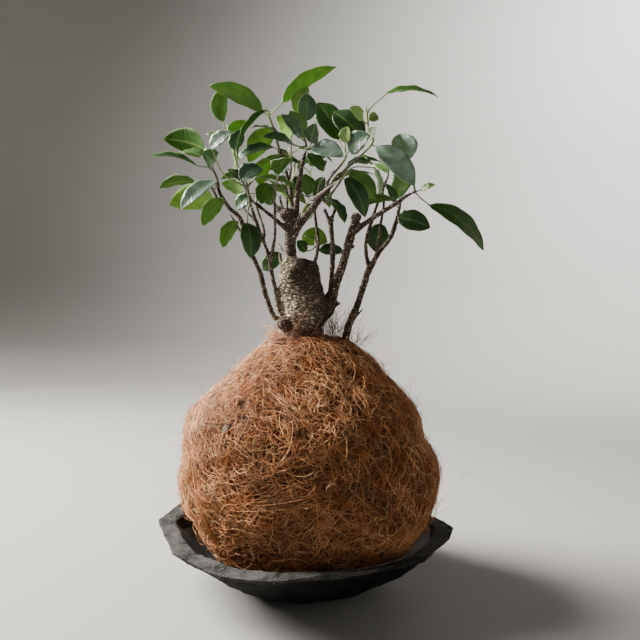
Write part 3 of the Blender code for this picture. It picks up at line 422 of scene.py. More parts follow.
def from_front(place: Place) -> Vector:
    """The point in space that shows at (x, z) of the front elevation and lies at depth y.

    Args:
        place: x, z and y in millimetres.

    Returns:
        The point, in millimetres.
    """
    x, z, y = place
    reach = 1.0 - y / EYE.y
    return Vector((EYE.x + (x - EYE.x) * reach, y, EYE.z + (z - EYE.z) * reach))


def stem_path(stem: Stem) -> list[Vector]:
    """A stem's middle line in space."""
    return [from_front(place) for place in stem.route]


def smooth_path(points: Sequence[Vector], steps: int) -> list[Vector]:
    """A smooth curve through the points.

    Args:
        points: the points that it passes.
        steps: how many steps lie between one point and the next.

    Returns:
        The curve's points.
    """
    ends = [2 * points[0] - points[1], *points, 2 * points[-1] - points[-2]]
    path = []
    for a, b, c, d in zip(ends, ends[1:], ends[2:], ends[3:]):
        for step in range(steps):
            t = step / steps
            path.append(0.5 * (2 * b + (c - a) * t + (2 * a - 5 * b + 4 * c - d) * t ** 2
                               + (3 * b - a - 3 * c + d) * t ** 3))
    return path + [points[-1].copy()]


def along(path: Sequence[Vector], share: float) -> tuple[Vector, Vector]:
    """Finds a place on a path.

    Args:
        path: the path's points.
        share: how much of its length to go, from 0 to 1.

    Returns:
        The point there, and the path's direction.
    """
    lengths = [(b - a).length for a, b in zip(path, path[1:])]
    left = share * sum(lengths)
    for (a, b), length in zip(zip(path, path[1:]), lengths):
        if left <= length or b is path[-1]:
            return a.lerp(b, min(1.0, left / length)), (b - a).normalized()
        left -= length
    return path[-1], (path[-1] - path[-2]).normalized()


def length_to(path: Sequence[Vector], point: Vector) -> tuple[float, float]:
    """Measures a path as far as it comes nearest to a point.

    Args:
        path: the path's points.
        point: a point beside it.

    Returns:
        The length gone to the nearest place, and the whole length.
    """
    gone = 0.0
    best = (math.inf, 0.0)
    for a, b in zip(path, path[1:]):
        run = b - a
        share = min(1.0, max(0.0, (point - a).dot(run) / run.length_squared))
        best = min(best, ((a + run * share - point).length, gone + run.length * share))
        gone += run.length
    return best[1], gone


def taper(count: int, base: float, tip: float) -> list[float]:
    """Radii that run evenly from base to tip."""
    return [base + (tip - base) * i / (count - 1) for i in range(count)]


# Work at the bench


def deselect() -> None:
    """Leaves edit mode and selects nothing."""
    if bpy.context.object and bpy.context.object.mode != "OBJECT":
        bpy.ops.object.mode_set(mode="OBJECT")
    bpy.ops.object.select_all(action="DESELECT")


def pick(*things: Thing) -> None:
    """Selects these objects alone.

    Args:
        things: the objects, the one to be active first.
    """
    deselect()
    for thing in things:
        thing.select_set(True)
    bpy.context.view_layer.objects.active = things[0]


def settle(thing: Thing) -> Thing:
    """Moves an object's place, turn and size into its mesh.

    Args:
        thing: the object.

    Returns:
        The same object, at the origin.
    """
    pick(thing)
    bpy.ops.object.transform_apply(location=True, rotation=True, scale=True)
    return thing


def join(things: Sequence[Thing], name: str) -> Thing:
    """Joins objects into one.

    Args:
        things: the objects.
        name: the name of the whole.

    Returns:
        The first object, which now holds them all.
    """
    pick(*things)
    if len(things) > 1:
        bpy.ops.object.join()
    things[0].name = name
    things[0].data.name = name
    return things[0]


def finish_modifier(thing: Thing, kind: str, **settings: object) -> None:
    """Adds a modifier and applies it.

    Args:
        thing: the object.
        kind: the modifier's type.
        settings: its properties.
    """
    pick(thing)
    step = thing.modifiers.new(kind.lower(), kind)
    for key, value in settings.items():
        setattr(step, key, value)
    bpy.ops.object.modifier_apply(modifier=step.name)


def cut_away(thing: Thing, cutter: Thing) -> None:
    """Takes the cutter's form out of a closed body, and drops the cutter."""
    finish_modifier(thing, "BOOLEAN", operation="DIFFERENCE", solver="EXACT", object=cutter)
    bpy.data.objects.remove(cutter)


def recalculate(thing: Thing, merge: float = 0.0) -> None:
    """Merges doubled points and turns all faces outwards.

    Args:
        thing: the object.
        merge: how near doubled points lie, in millimetres.
    """
    pick(thing)
    bpy.ops.object.mode_set(mode="EDIT")
    bpy.ops.mesh.select_all(action="SELECT")
    if merge:
        bpy.ops.mesh.remove_doubles(threshold=merge * MM)
    bpy.ops.mesh.normals_make_consistent(inside=False)
    bpy.ops.object.mode_set(mode="OBJECT")


def add_ball(name: str, segments: int, rings: int, radius: float, middle: Sequence[float]) -> Thing:
    """Adds a ball.

    Args:
        name: the object's name.
        segments: how many sides it has round its axis.
        rings: how many from pole to pole.
        radius: its radius, in millimetres.
        middle: its middle, in millimetres.

    Returns:
        The ball.
    """
    deselect()
    bpy.ops.mesh.primitive_uv_sphere_add(segments=segments, ring_count=rings, radius=radius * MM,
                                         location=Vector(middle) * MM)
    bpy.context.object.name = name
    return settle(bpy.context.object)


def draw_up(name: str, rings: Sequence[Place], sides: int) -> Thing:
    """A round body drawn up from a filled circle, one ring extruded after the other.

    Args:
        name: the object's name.
        rings: height, x of the middle and radius of each ring, in millimetres.
        sides: how many sides the circle has.

    Returns:
        The closed body, its points in rings from first to last.
    """
    deselect()
    height, x, radius = rings[0]
    bpy.ops.mesh.primitive_circle_add(
        vertices=sides, radius=radius * MM, fill_type="NGON", location=(0, 0, 0))
    thing = bpy.context.object
    thing.name = name
    bpy.ops.object.mode_set(mode="EDIT")
    bpy.ops.mesh.select_all(action="SELECT")
    bpy.ops.transform.translate(value=(x * MM, 0, height * MM))
    for (low, x_low, near), (high, x_high, far) in zip(rings, rings[1:]):
        rise = ((x_high - x_low) * MM, 0, (high - low) * MM)
        bpy.ops.mesh.extrude_region_move(TRANSFORM_OT_translate={"value": rise})
        share = far / near
        middle = (x_high * MM, 0, high * MM)
        bpy.ops.transform.resize(value=(share, share, 1), center_override=middle)
    bpy.ops.object.mode_set(mode="OBJECT")
    recalculate(thing)
    return settle(thing)


def draw_tubes(name: str, lines: Sequence[tuple[Sequence[Vector], Sequence[float]]],
               fineness: int) -> Thing:
    """Round bars along lines, drawn as curves with a bevel and made a mesh.

    Args:
        name: the object's name.
        lines: each bar's middle line and its radii, in millimetres.
        fineness: the bevel's resolution.

    Returns:
        The closed bars in one mesh.
    """
    deselect()
    bpy.ops.curve.primitive_bezier_curve_add(location=(0, 0, 0))
    thing = bpy.context.object
    curve = thing.data
    curve.splines.clear()
    curve.bevel_depth = MM
    curve.bevel_resolution = fineness
    curve.use_fill_caps = True
    for path, radii in lines:
        spline = curve.splines.new("POLY")
        spline.points.add(len(path) - 1)
        for point, place, radius in zip(spline.points, path, radii):
            point.co = (*(place * MM), 1.0)
            point.radius = radius
    pick(thing)
    bpy.ops.object.convert(target="MESH")
    thing = bpy.context.object
    thing.name = name
    recalculate(thing, 0.001)
    return thing


def rows_of(thing: Thing, key: str) -> Rows:
    """Reads three numbers at each of a mesh's points.

    Args:
        thing: the mesh's object.
        key: which property of the points.

    Returns:
        One row for each point.
    """
    flat = np.empty(len(thing.data.vertices) * 3, np.float32)
    thing.data.vertices.foreach_get(key, flat)
    return flat.reshape(-1, 3).astype(float)


def places_of(thing: Thing) -> Rows:
    """A mesh's points as rows, in millimetres."""
    return rows_of(thing, "co") / MM


def normals_of(thing: Thing) -> Rows:
    """The normals at a mesh's points, as rows."""
    return rows_of(thing, "normal")


def put_places(thing: Thing, places: Rows) -> None:
    """Moves a mesh's points to new places, in millimetres."""
    thing.data.vertices.foreach_set("co", (places * MM).astype(np.float32).ravel())
    thing.data.update()


def set_attribute(thing: Thing, name: str, values: Rows | float) -> None:
    """Writes a number at each point of a mesh, for its material to read.

    Args:
        thing: the mesh's object.
        name: the attribute's name.
        values: one number for each point, or one for all.
    """
    count = len(thing.data.vertices)
    spread = np.broadcast_to(np.asarray(values, np.float32), (count,))
    layer = thing.data.attributes.get(name) or thing.data.attributes.new(name, "FLOAT", "POINT")
    layer.data.foreach_set("value", np.ascontiguousarray(spread))


def dress_in(thing: Thing, material: Material) -> None:
    """Gives a mesh one material alone."""
    thing.data.materials.clear()
    thing.data.materials.append(material)


def smooth_by_angle(thing: Thing, angle: float) -> None:
    """Shades a mesh smooth, but for edges sharper than an angle in degrees."""
    pick(thing)
    bpy.ops.object.shade_smooth_by_angle(angle=math.radians(angle))


def hand_over(thing: Thing, slot: str, *nodes: str) -> None:
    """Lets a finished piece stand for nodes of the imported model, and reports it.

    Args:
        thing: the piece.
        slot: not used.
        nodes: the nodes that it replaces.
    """
    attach(thing, "root")
    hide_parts(*nodes)
    log.info("%s: %d faces, for %s", thing.name, len(thing.data.polygons), ", ".join(nodes))


def unit(rows: Rows) -> Rows:
    """Rows brought to a length of one."""
    return rows / np.maximum(np.linalg.norm(rows, axis=-1, keepdims=True), NEAR_ZERO)


def swell(distance: Rows, start: float, end: float) -> Rows:
    """A smooth step from 0 at start to 1 at end."""
    share = np.clip((distance - start) / (end - start), 0.0, 1.0)
    return share * share * (3 - 2 * share)


def cloud(places: Rows, size: float, seed: float = 0.0) -> Rows:
    """Soft noise between -1 and 1 at each place, with lumps of a size in millimetres."""
    return np.array([noise.noise(Vector(place) / size + Vector((seed, 0, 0))) for place in places])


def scales(places: Rows, size: Place, width: float) -> Rows:
    """Parts places into scales.

    Args:
        places: the places, in millimetres.
        size: a scale's size on each axis.
        width: how much of a scale its sloping edge takes up, about.

    Returns:
        How far inside its scale each place lies, from 0 at a seam to 1.
    """
    shares = []
    for place in places / np.array(size):
        near, after = noise.voronoi(Vector(place))[0][:2]
        shares.append(min(1.0, (after - near) / width))
    return np.array(shares)


# Finishes


class NodeSheet:
    """One material's nodes, added and joined by short calls."""

    def __init__(self, name: str) -> None:
        """Starts a material with its Principled shader.

        Args:
            name: the material's name.
        """
        self.material = bpy.data.materials.new(name)
        self.material.use_nodes = True
        self.tree = self.material.node_tree
        self.shader = self.tree.nodes["Principled BSDF"]
        self.output = self.tree.nodes["Material Output"]

    def feed(self, socket: Socket, value: object) -> None:
        """Joins a socket to an output, or sets its number or colour.

        Args:
            socket: the input socket.
            value: an output socket, a number or a colour.
        """
        if isinstance(value, Socket):
            self.tree.links.new(value, socket)
        elif isinstance(value, tuple) and len(value) == 3 and socket.type == "RGBA":
            socket.default_value = (*value, 1.0)
        else:
            socket.default_value = value

    def add(self, kind: str, inputs: dict[str | int, object], result: str | int,
            **settings: object) -> Socket:
        """Adds a node.

        Args:
            kind: the node's type.
            inputs: what each input gets.
            result: the output that is wanted.
            settings: the node's properties.

        Returns:
            The wanted output.
        """
        node = self.tree.nodes.new(kind)
        for key, value in settings.items():
            setattr(node, key, value)
        for key, value in inputs.items():
            self.feed(node.inputs[key], value)
        return node.outputs[result]

    def place(self) -> Socket:
        """The Object coordinates."""
        return self.add("ShaderNodeTexCoord", {}, "Object")

    def stretch(self, vector: Socket, scale: Place) -> Socket:
        """Coordinates scaled by their own share on each axis."""
        return self.add("ShaderNodeMapping", {"Vector": vector, "Scale": scale}, "Vector")

    def wander(self, size: float, reach: float, scale: Place) -> Socket:
        """Shifts the Object coordinates to and fro, then scales them.

        Args:
            size: how far apart the shifts are, in millimetres.
            reach: how far they go, in millimetres.
            scale: the share on each axis.

        Returns:
            The new coordinates.
        """
        drift = {"Vector": self.place(), "Scale": 1.0 / (size * MM)}
        drifting = self.add("ShaderNodeTexNoise", drift, "Color")
        moved = {0: drifting, 1: (reach * MM,) * 3, 2: self.place()}
        place = self.add("ShaderNodeVectorMath", moved, "Vector", operation="MULTIPLY_ADD")
        return self.stretch(place, scale)

    def attribute(self, name: str) -> Socket:
        """A number written at the mesh's points."""
        return self.add("ShaderNodeAttribute", {}, "Fac", attribute_name=name)

    def noise(self, size: float, detail: float = 3.0, vector: Socket | None = None,
              warp: float = 0.0) -> Socket:
        """Noise with lumps of a size in millimetres."""
        inputs = {"Scale": 1.0 / (size * MM), "Detail": detail, "Distortion": warp}
        return self.add("ShaderNodeTexNoise", {"Vector": vector or self.place(), **inputs}, "Fac")

    def cells(self, size: float, vector: Socket, feature: str, result: str = "Distance") -> Socket:
        """Distance within cells of a size in millimetres, or each cell's own shade."""
        inputs = {"Vector": vector, "Scale": 1.0 / (size * MM)}
        return self.add("ShaderNodeTexVoronoi", inputs, result, feature=feature)

    def ramp(self, share: Socket, stops: Sequence[tuple[float, Colour]]) -> Socket:
        """Runs a share through a row of colours.

        Args:
            share: the share.
            stops: the colours and the shares at which they stand.

        Returns:
            The colour.
        """
        node = self.tree.nodes.new("ShaderNodeValToRGB")
        self.feed(node.inputs["Fac"], share)
        points = node.color_ramp.elements
        while len(points) < len(stops):
            points.new(0.5)
        for point, (position, colour) in zip(points, stops):
            point.position = position
            point.color = (*colour, 1.0)
        return node.outputs["Color"]

    def blend(self, share: object, first: object, second: object, how: str = "MIX") -> Socket:
        """Two colours mixed by a share."""
        inputs = {0: share, 6: first, 7: second}
        return self.add("ShaderNodeMix", inputs, 2, data_type="RGBA", blend_type=how)

    def times(self, first: object, second: object) -> Socket:
        """Two numbers multiplied."""
        return self.add("ShaderNodeMath", {0: first, 1: second}, "Value", operation="MULTIPLY")

    def shade(self, colour: object, share: object, weight: float | Socket = 1.0) -> Socket:
        """A colour multiplied by a share or a colour."""
        return self.blend(weight, colour, share, "MULTIPLY")

    def span(self, value: Socket, low: float, high: float, start: float = 0.0,
             end: float = 1.0) -> Socket:
        """A number moved smoothly from one span to another and kept inside it."""
        inputs = {"Value": value, "From Min": low, "From Max": high, "To Min": start, "To Max": end}
        return self.add("ShaderNodeMapRange", inputs, "Result", interpolation_type="SMOOTHSTEP")

    def bump(self, height: Socket, depth: float, under: Socket | None = None) -> Socket:
        """A relief of some millimetres, over another one if given."""
        inputs = {"Distance": depth * MM, "Height": height} | ({"Normal": under} if under else {})
        return self.add("ShaderNodeBump", inputs, "Normal")

    def dress(self, **sockets: object) -> Material:
        """Sets or joins the shader's own sockets.

        Args:
            sockets: what each socket gets, by its name with _ for a space.

        Returns:
            The material.
        """
        for key, value in sockets.items():
            name = key.replace("_", " ").title().replace("Ior", "IOR")
            self.feed(self.shader.inputs[name], value)
        return self.material

    def let_through(self, share: float, colour: object) -> Material:
        """Mixes the shader with light that comes through a thin blade.

        Args:
            share: how much of the light comes through.
            colour: the colour that it takes.

        Returns:
            The material.
        """
        glow = self.add("ShaderNodeBsdfTranslucent", {"Color": colour}, "BSDF")
        inputs = {"Fac": share, 1: self.shader.outputs["BSDF"], 2: glow}
        self.feed(self.output.inputs["Surface"], self.add("ShaderNodeMixShader", inputs, "Shader"))
        return self.material


@dataclass(frozen=True)
class CharredWood:
    """Wood stained charcoal: near black outside, grey and speckled on the rim. The outside's near
    black is darker than the stain alone, as painted shade, and the right side of the bowl's inner
    wall is painted pale grey as a painted reflection.
    """

    # painted shade, in part: the outside wall is darker than its stain, as it lies in shade
    wall_stain_and_shade: Colour = (0.0016, 0.0015, 0.0014)
    worn: Colour = (0.0054, 0.0051, 0.0046)
    rim: Colour = (0.042, 0.040, 0.038)
    speck: Colour = (0.19, 0.18, 0.17)
    inside: Colour = (0.036, 0.032, 0.029)
    # painted reflection: pale grey for the right side of the bowl's inner wall
    pale: Colour = (0.72, 0.70, 0.68)
    patch_size: float = 22.0
    speck_size: float = 1.1
    speck_share: float = 0.7
    dent_size: float = 5.5
    dent_depth: float = 0.5
    grain_size: float = 2.2
    grain_depth: float = 0.35

    def material(self) -> Material:
        """Mixes the finish.

        Returns:
            The material.
        """
        sheet = NodeSheet("charred_wood")
        patches = sheet.noise(self.patch_size, 4, warp=0.6)
        # painted shade on the outer wall, with worn patches over it
        outside = sheet.blend(sheet.span(patches, 0.42, 0.66), self.wall_stain_and_shade, self.worn)
        bowl = sheet.blend(sheet.span(patches, 0.30, 0.60), self.worn, self.inside)
        # painted reflection: the bowl's right inner wall turns pale grey
        bowl = sheet.blend(sheet.attribute("pale"), bowl, self.pale)
        body = sheet.blend(sheet.attribute("inner"), outside, bowl)
        rough = sheet.blend(sheet.span(patches, 0.35, 0.62), self.worn, self.rim)
        specks = sheet.span(sheet.noise(self.speck_size, 2), 0.59, 0.70)
        rough = sheet.blend(sheet.times(specks, self.speck_share), rough, self.speck)
        colour = sheet.blend(sheet.attribute("rim"), body, rough)
        relief = sheet.bump(sheet.noise(self.dent_size, 4), self.dent_depth)
        relief = sheet.bump(sheet.noise(self.grain_size, 4), self.grain_depth, relief)
        return sheet.dress(base_color=colour, roughness=0.9, specular_ior_level=0.15, normal=relief)


@dataclass(frozen=True)
class ShadeFelt:
    """The felt that the fibres lie on, darker than the fibres as painted shade in the gaps between
    them.
    """

    # painted shade: these dark browns stand for the shade deep in the gaps between fibres
    deep: Colour = (0.034, 0.014, 0.006)
    brown: Colour = (0.130, 0.054, 0.020)
    thread_size: float = 1.3
    thread_depth: float = 1.2

    def material(self) -> Material:
        """Mixes the finish.

        Returns:
            The material.
        """
        sheet = NodeSheet("coir_felt")
        threads = sheet.noise(self.thread_size, 4, warp=2.5)
        colour = sheet.blend(sheet.span(threads, 0.40, 0.62), self.deep, self.brown)
        relief = sheet.bump(threads, self.thread_depth)
        return sheet.dress(base_color=colour, roughness=0.95, normal=relief)


@dataclass(frozen=True)
class CoirFibre:
    """Coconut fibre, from dark red-brown to straw by each fibre's tone."""

    dark: Colour = (0.062, 0.022, 0.011)
    red: Colour = (0.238, 0.090, 0.035)
    tan: Colour = (0.575, 0.266, 0.110)
    straw: Colour = (0.83, 0.54, 0.27)
    ruddy: Colour = (1.0, 0.78, 0.60)
    patch_size: float = 20.0
    ruddy_size: float = 13.0
    ruddy_share: float = 0.8

    def material(self) -> Material:
        """Mixes the finish.

        Returns:
            The material.
        """
        sheet = NodeSheet("coir_fibre")
        stops = ((0.0, self.dark), (0.36, self.red), (0.74, self.tan), (1.0, self.straw))
        colour = sheet.ramp(sheet.attribute("tone"), stops)
        patches = sheet.span(sheet.noise(self.patch_size, 3), 0.34, 0.66, 0.74, 1.10)
        colour = sheet.shade(colour, patches)
        ruddy = sheet.span(sheet.noise(self.ruddy_size, 2), 0.5, 0.68)
        ruddy = sheet.times(ruddy, self.ruddy_share)
        colour = sheet.shade(colour, self.ruddy, ruddy)
        return sheet.dress(base_color=colour, roughness=0.55, specular_ior_level=0.22)


@dataclass(frozen=True)
class HuskPith:
    """Grey-brown corky pith of the husk."""

    dark: Colour = (0.036, 0.024, 0.016)
    light: Colour = (0.150, 0.112, 0.080)
    crumb_size: float = 0.9
    crumb_depth: float = 0.4

    def material(self) -> Material:
        """Mixes the finish.

        Returns:
            The material.
        """
        sheet = NodeSheet("husk_pith")
        crumbs = sheet.noise(self.crumb_size, 3)
        colour = sheet.blend(sheet.span(crumbs, 0.4, 0.6), self.dark, self.light)
        relief = sheet.bump(crumbs, self.crumb_depth)
        return sheet.dress(base_color=colour, roughness=0.95, normal=relief)


@dataclass(frozen=True)
class FigBark:
    """Fig bark: dark with pale lenticels on stems, scaly on the trunk and cream on its left side,
    the cream partly a real pale crust and partly painted light, with painted shade in the duller
    right side.
    """

    dark: Colour = (0.018, 0.010, 0.007)
    brown: Colour = (0.070, 0.044, 0.030)
    pale: Colour = (0.42, 0.37, 0.29)
    seam: Colour = (0.024, 0.014, 0.009)
    warm_seam: Colour = (0.072, 0.043, 0.027)
    burl: Colour = (0.155, 0.080, 0.050)
    # painted shade, in part: the duller colour of the trunk's right side, away from the lamp
    dull_and_shaded: Colour = (0.112, 0.084, 0.063)
    cream: Colour = (0.60, 0.51, 0.39)
    moss: Colour = (0.30, 0.29, 0.11)
    mottle_size: float = 3.2
    dot_size: float = 1.2
    dot_group: float = 5.0
    dot_shape: Place = (0.8, 0.8, 1.5)
    plate_size: float = 4.4
    plate_shape: Place = (1.0, 1.0, 2.5)
    plate_depth: float = 0.7
    grain_size: float = 0.9
    grain_depth: float = 0.25

    def material(self) -> Material:
        """Mixes the finish.

        Returns:
            The material.
        """
        sheet = NodeSheet("fig_bark")
        trunk, crust = sheet.attribute("trunk"), sheet.attribute("crust")
        mottle = sheet.noise(self.mottle_size, 4, warp=0.5)
        stem = sheet.blend(sheet.span(mottle, 0.36, 0.66), self.dark, self.brown)
        spots = sheet.noise(self.dot_size, 1, sheet.stretch(sheet.place(), self.dot_shape))
        groups = sheet.span(sheet.noise(self.dot_group, 1), 0.36, 0.54)
        stem = sheet.blend(sheet.times(sheet.span(spots, 0.58, 0.66), groups), stem, self.pale)
        stem = sheet.blend(sheet.attribute("bare"), stem, self.cream)
        light = sheet.blend(sheet.attribute("moss"), self.cream, self.moss)
        # painted light and shade, in part: cream on the trunk's lit left side, dull colour on its
        # shaded right
        top = sheet.blend(crust, self.dull_and_shaded, light)
        top = sheet.shade(top, sheet.span(mottle, 0.3, 0.7, 0.55, 1.15))
        way = sheet.wander(4.0, 2.6, self.plate_shape)
        plates = sheet.span(sheet.cells(self.plate_size, way, "DISTANCE_TO_EDGE"), 0.0, 0.26)
        tints = sheet.cells(self.plate_size, way, "F1", "Color")
        top = sheet.shade(top, sheet.span(tints, 0.2, 0.8, 0.78, 1.22))
        top = sheet.blend(sheet.attribute("burl"), top, self.burl)
        shown = sheet.times(sheet.span(sheet.attribute("scale"), 0.0, 0.4, 0.45, 1.0), plates)
        old = sheet.blend(shown, sheet.blend(crust, self.seam, self.warm_seam), top)
        colour = sheet.blend(trunk, stem, old)
        relief = sheet.bump(sheet.times(plates, trunk), self.plate_depth)
        relief = sheet.bump(sheet.noise(self.grain_size, 3), self.grain_depth, relief)
        return sheet.dress(base_color=colour, roughness=0.88, specular_ior_level=0.3, normal=relief)


@dataclass(frozen=True)
class LeafTop:
    """The glossy upper face of a fig leaf."""

    deep: Colour = (0.016, 0.042, 0.009)
    middle: Colour = (0.042, 0.102, 0.015)
    bright: Colour = (0.160, 0.310, 0.055)
    young: Colour = (0.250, 0.390, 0.100)
    blue: Colour = (0.020, 0.056, 0.038)
    # painted sheen: a pale grey-green mixed in as reflected light
    bloom: Colour = (0.30, 0.41, 0.34)
    rib: Colour = (0.20, 0.30, 0.09)
    rib_share: float = 0.42
    edge: Colour = (0.33, 0.43, 0.13)
    edge_share: float = 0.5
    vein_rows: float = 1.7
    vein_slant: float = 4.0
    vein_depth: float = 0.10
    dent_size: float = 5.0
    dent_depth: float = 0.5
    roughness: float = 0.30
    coat: float = 0.12
    gloss: float = 0.4
    through: float = 0.25
    glow: Colour = (0.13, 0.32, 0.012)

    def material(self, name: str = "leaf_top") -> Material:
        """Mixes the finish.

        Args:
            name: the material's name.

        Returns:
            The material.
        """
        sheet = NodeSheet(name)
        stops = ((0.0, self.deep), (0.42, self.middle), (0.86, self.bright), (1.0, self.young))
        colour = sheet.ramp(sheet.attribute("tone"), stops)
        colour = sheet.shade(colour, sheet.span(sheet.noise(7, 3), 0.3, 0.7, 0.8, 1.2))
        colour = sheet.blend(sheet.attribute("cast"), colour, self.blue)
        # painted sheen, broken into streaks like highlights between the veins
        sheen_streaks = sheet.span(sheet.noise(9, 1), 0.3, 0.7, 0.6, 1.1)
        colour = sheet.blend(sheet.times(sheet.attribute("bloom"), sheen_streaks), colour, self.bloom)
        rib = sheet.times(sheet.span(sheet.attribute("rib"), 0.35, 0.95), self.rib_share)
        margin = sheet.times(sheet.span(sheet.attribute("margin"), 0.55, 1.0), self.edge_share)
        colour = sheet.blend(margin, sheet.blend(rib, colour, self.rib), self.edge)
        uv = sheet.add("ShaderNodeUVMap", {}, "UV", uv_map="leaf")
        slanted = sheet.stretch(uv, (1.0, self.vein_slant, 1.0))
        inputs = {"Vector": slanted, "Scale": self.vein_rows, "Distortion": 0.6}
        veins = sheet.add("ShaderNodeTexWave", inputs, "Fac", bands_direction="DIAGONAL")
        relief = sheet.bump(veins, self.vein_depth)
        relief = sheet.bump(sheet.noise(self.dent_size, 2), self.dent_depth, relief)
        sheet.dress(base_color=colour, roughness=self.roughness, specular_ior_level=self.gloss,
                    coat_weight=self.coat, coat_roughness=0.15, normal=relief)
        return sheet.let_through(self.through, sheet.blend(0.55, colour, self.glow))


@dataclass(frozen=True)
class LeafBack(LeafTop):
    """The paler, duller under face of a fig leaf."""

    deep: Colour = (0.018, 0.060, 0.003)
    middle: Colour = (0.075, 0.150, 0.026)
    bright: Colour = (0.150, 0.290, 0.040)
    young: Colour = (0.230, 0.370, 0.080)
    blue: Colour = (0.040, 0.085, 0.055)
    roughness: float = 0.6
    coat: float = 0.0
    gloss: float = 0.05
    through: float = 0.38

    def material(self, name: str = "leaf_back") -> Material:
        """The upper face's finish with this face's values."""
        return super().material(name)


@dataclass(frozen=True)
class GreenStalk:
    """Twigs and leaf stalks: pale yellow-green, browner where the twig is old."""

    green: Colour = (0.250, 0.300, 0.110)
    old: Colour = (0.060, 0.042, 0.028)
    mottle_size: float = 2.4
    mottle_depth: float = 0.2

    def material(self) -> Material:
        """Mixes the finish.

        Returns:
            The material.
        """
        sheet = NodeSheet("green_stalk")
        mottle = sheet.noise(self.mottle_size, 3)
        share = sheet.times(sheet.attribute("age"), sheet.span(mottle, 0.3, 0.6, 0.6, 1.0))
        colour = sheet.blend(share, self.green, self.old)
        relief = sheet.bump(mottle, self.mottle_depth)
        return sheet.dress(base_color=colour, roughness=0.5, normal=relief)


@dataclass(frozen=True)
class PottingSoil:
    """Dark crumbly potting soil."""

    dark: Colour = (0.016, 0.011, 0.008)
    light: Colour = (0.075, 0.050, 0.032)
    crumb_size: float = 3.0
    crumb_depth: float = 1.5

    def material(self) -> Material:
        """Mixes the finish.

        Returns:
            The material.
        """
        sheet = NodeSheet("potting_soil")
        crumbs = sheet.noise(self.crumb_size, 5)
        colour = sheet.blend(sheet.span(crumbs, 0.35, 0.7), self.dark, self.light)
        relief = sheet.bump(crumbs, self.crumb_depth)
        return sheet.dress(base_color=colour, roughness=0.95, normal=relief)


@dataclass(frozen=True)
class StudioPaper:
    """Plain pale paper of the studio's floor and backdrop."""

    colour: Colour = (0.30, 0.292, 0.280)

    def material(self) -> Material:
        """The plain paper's material."""
        return NodeSheet("studio_paper").dress(base_color=self.colour, roughness=0.95)


# Pieces


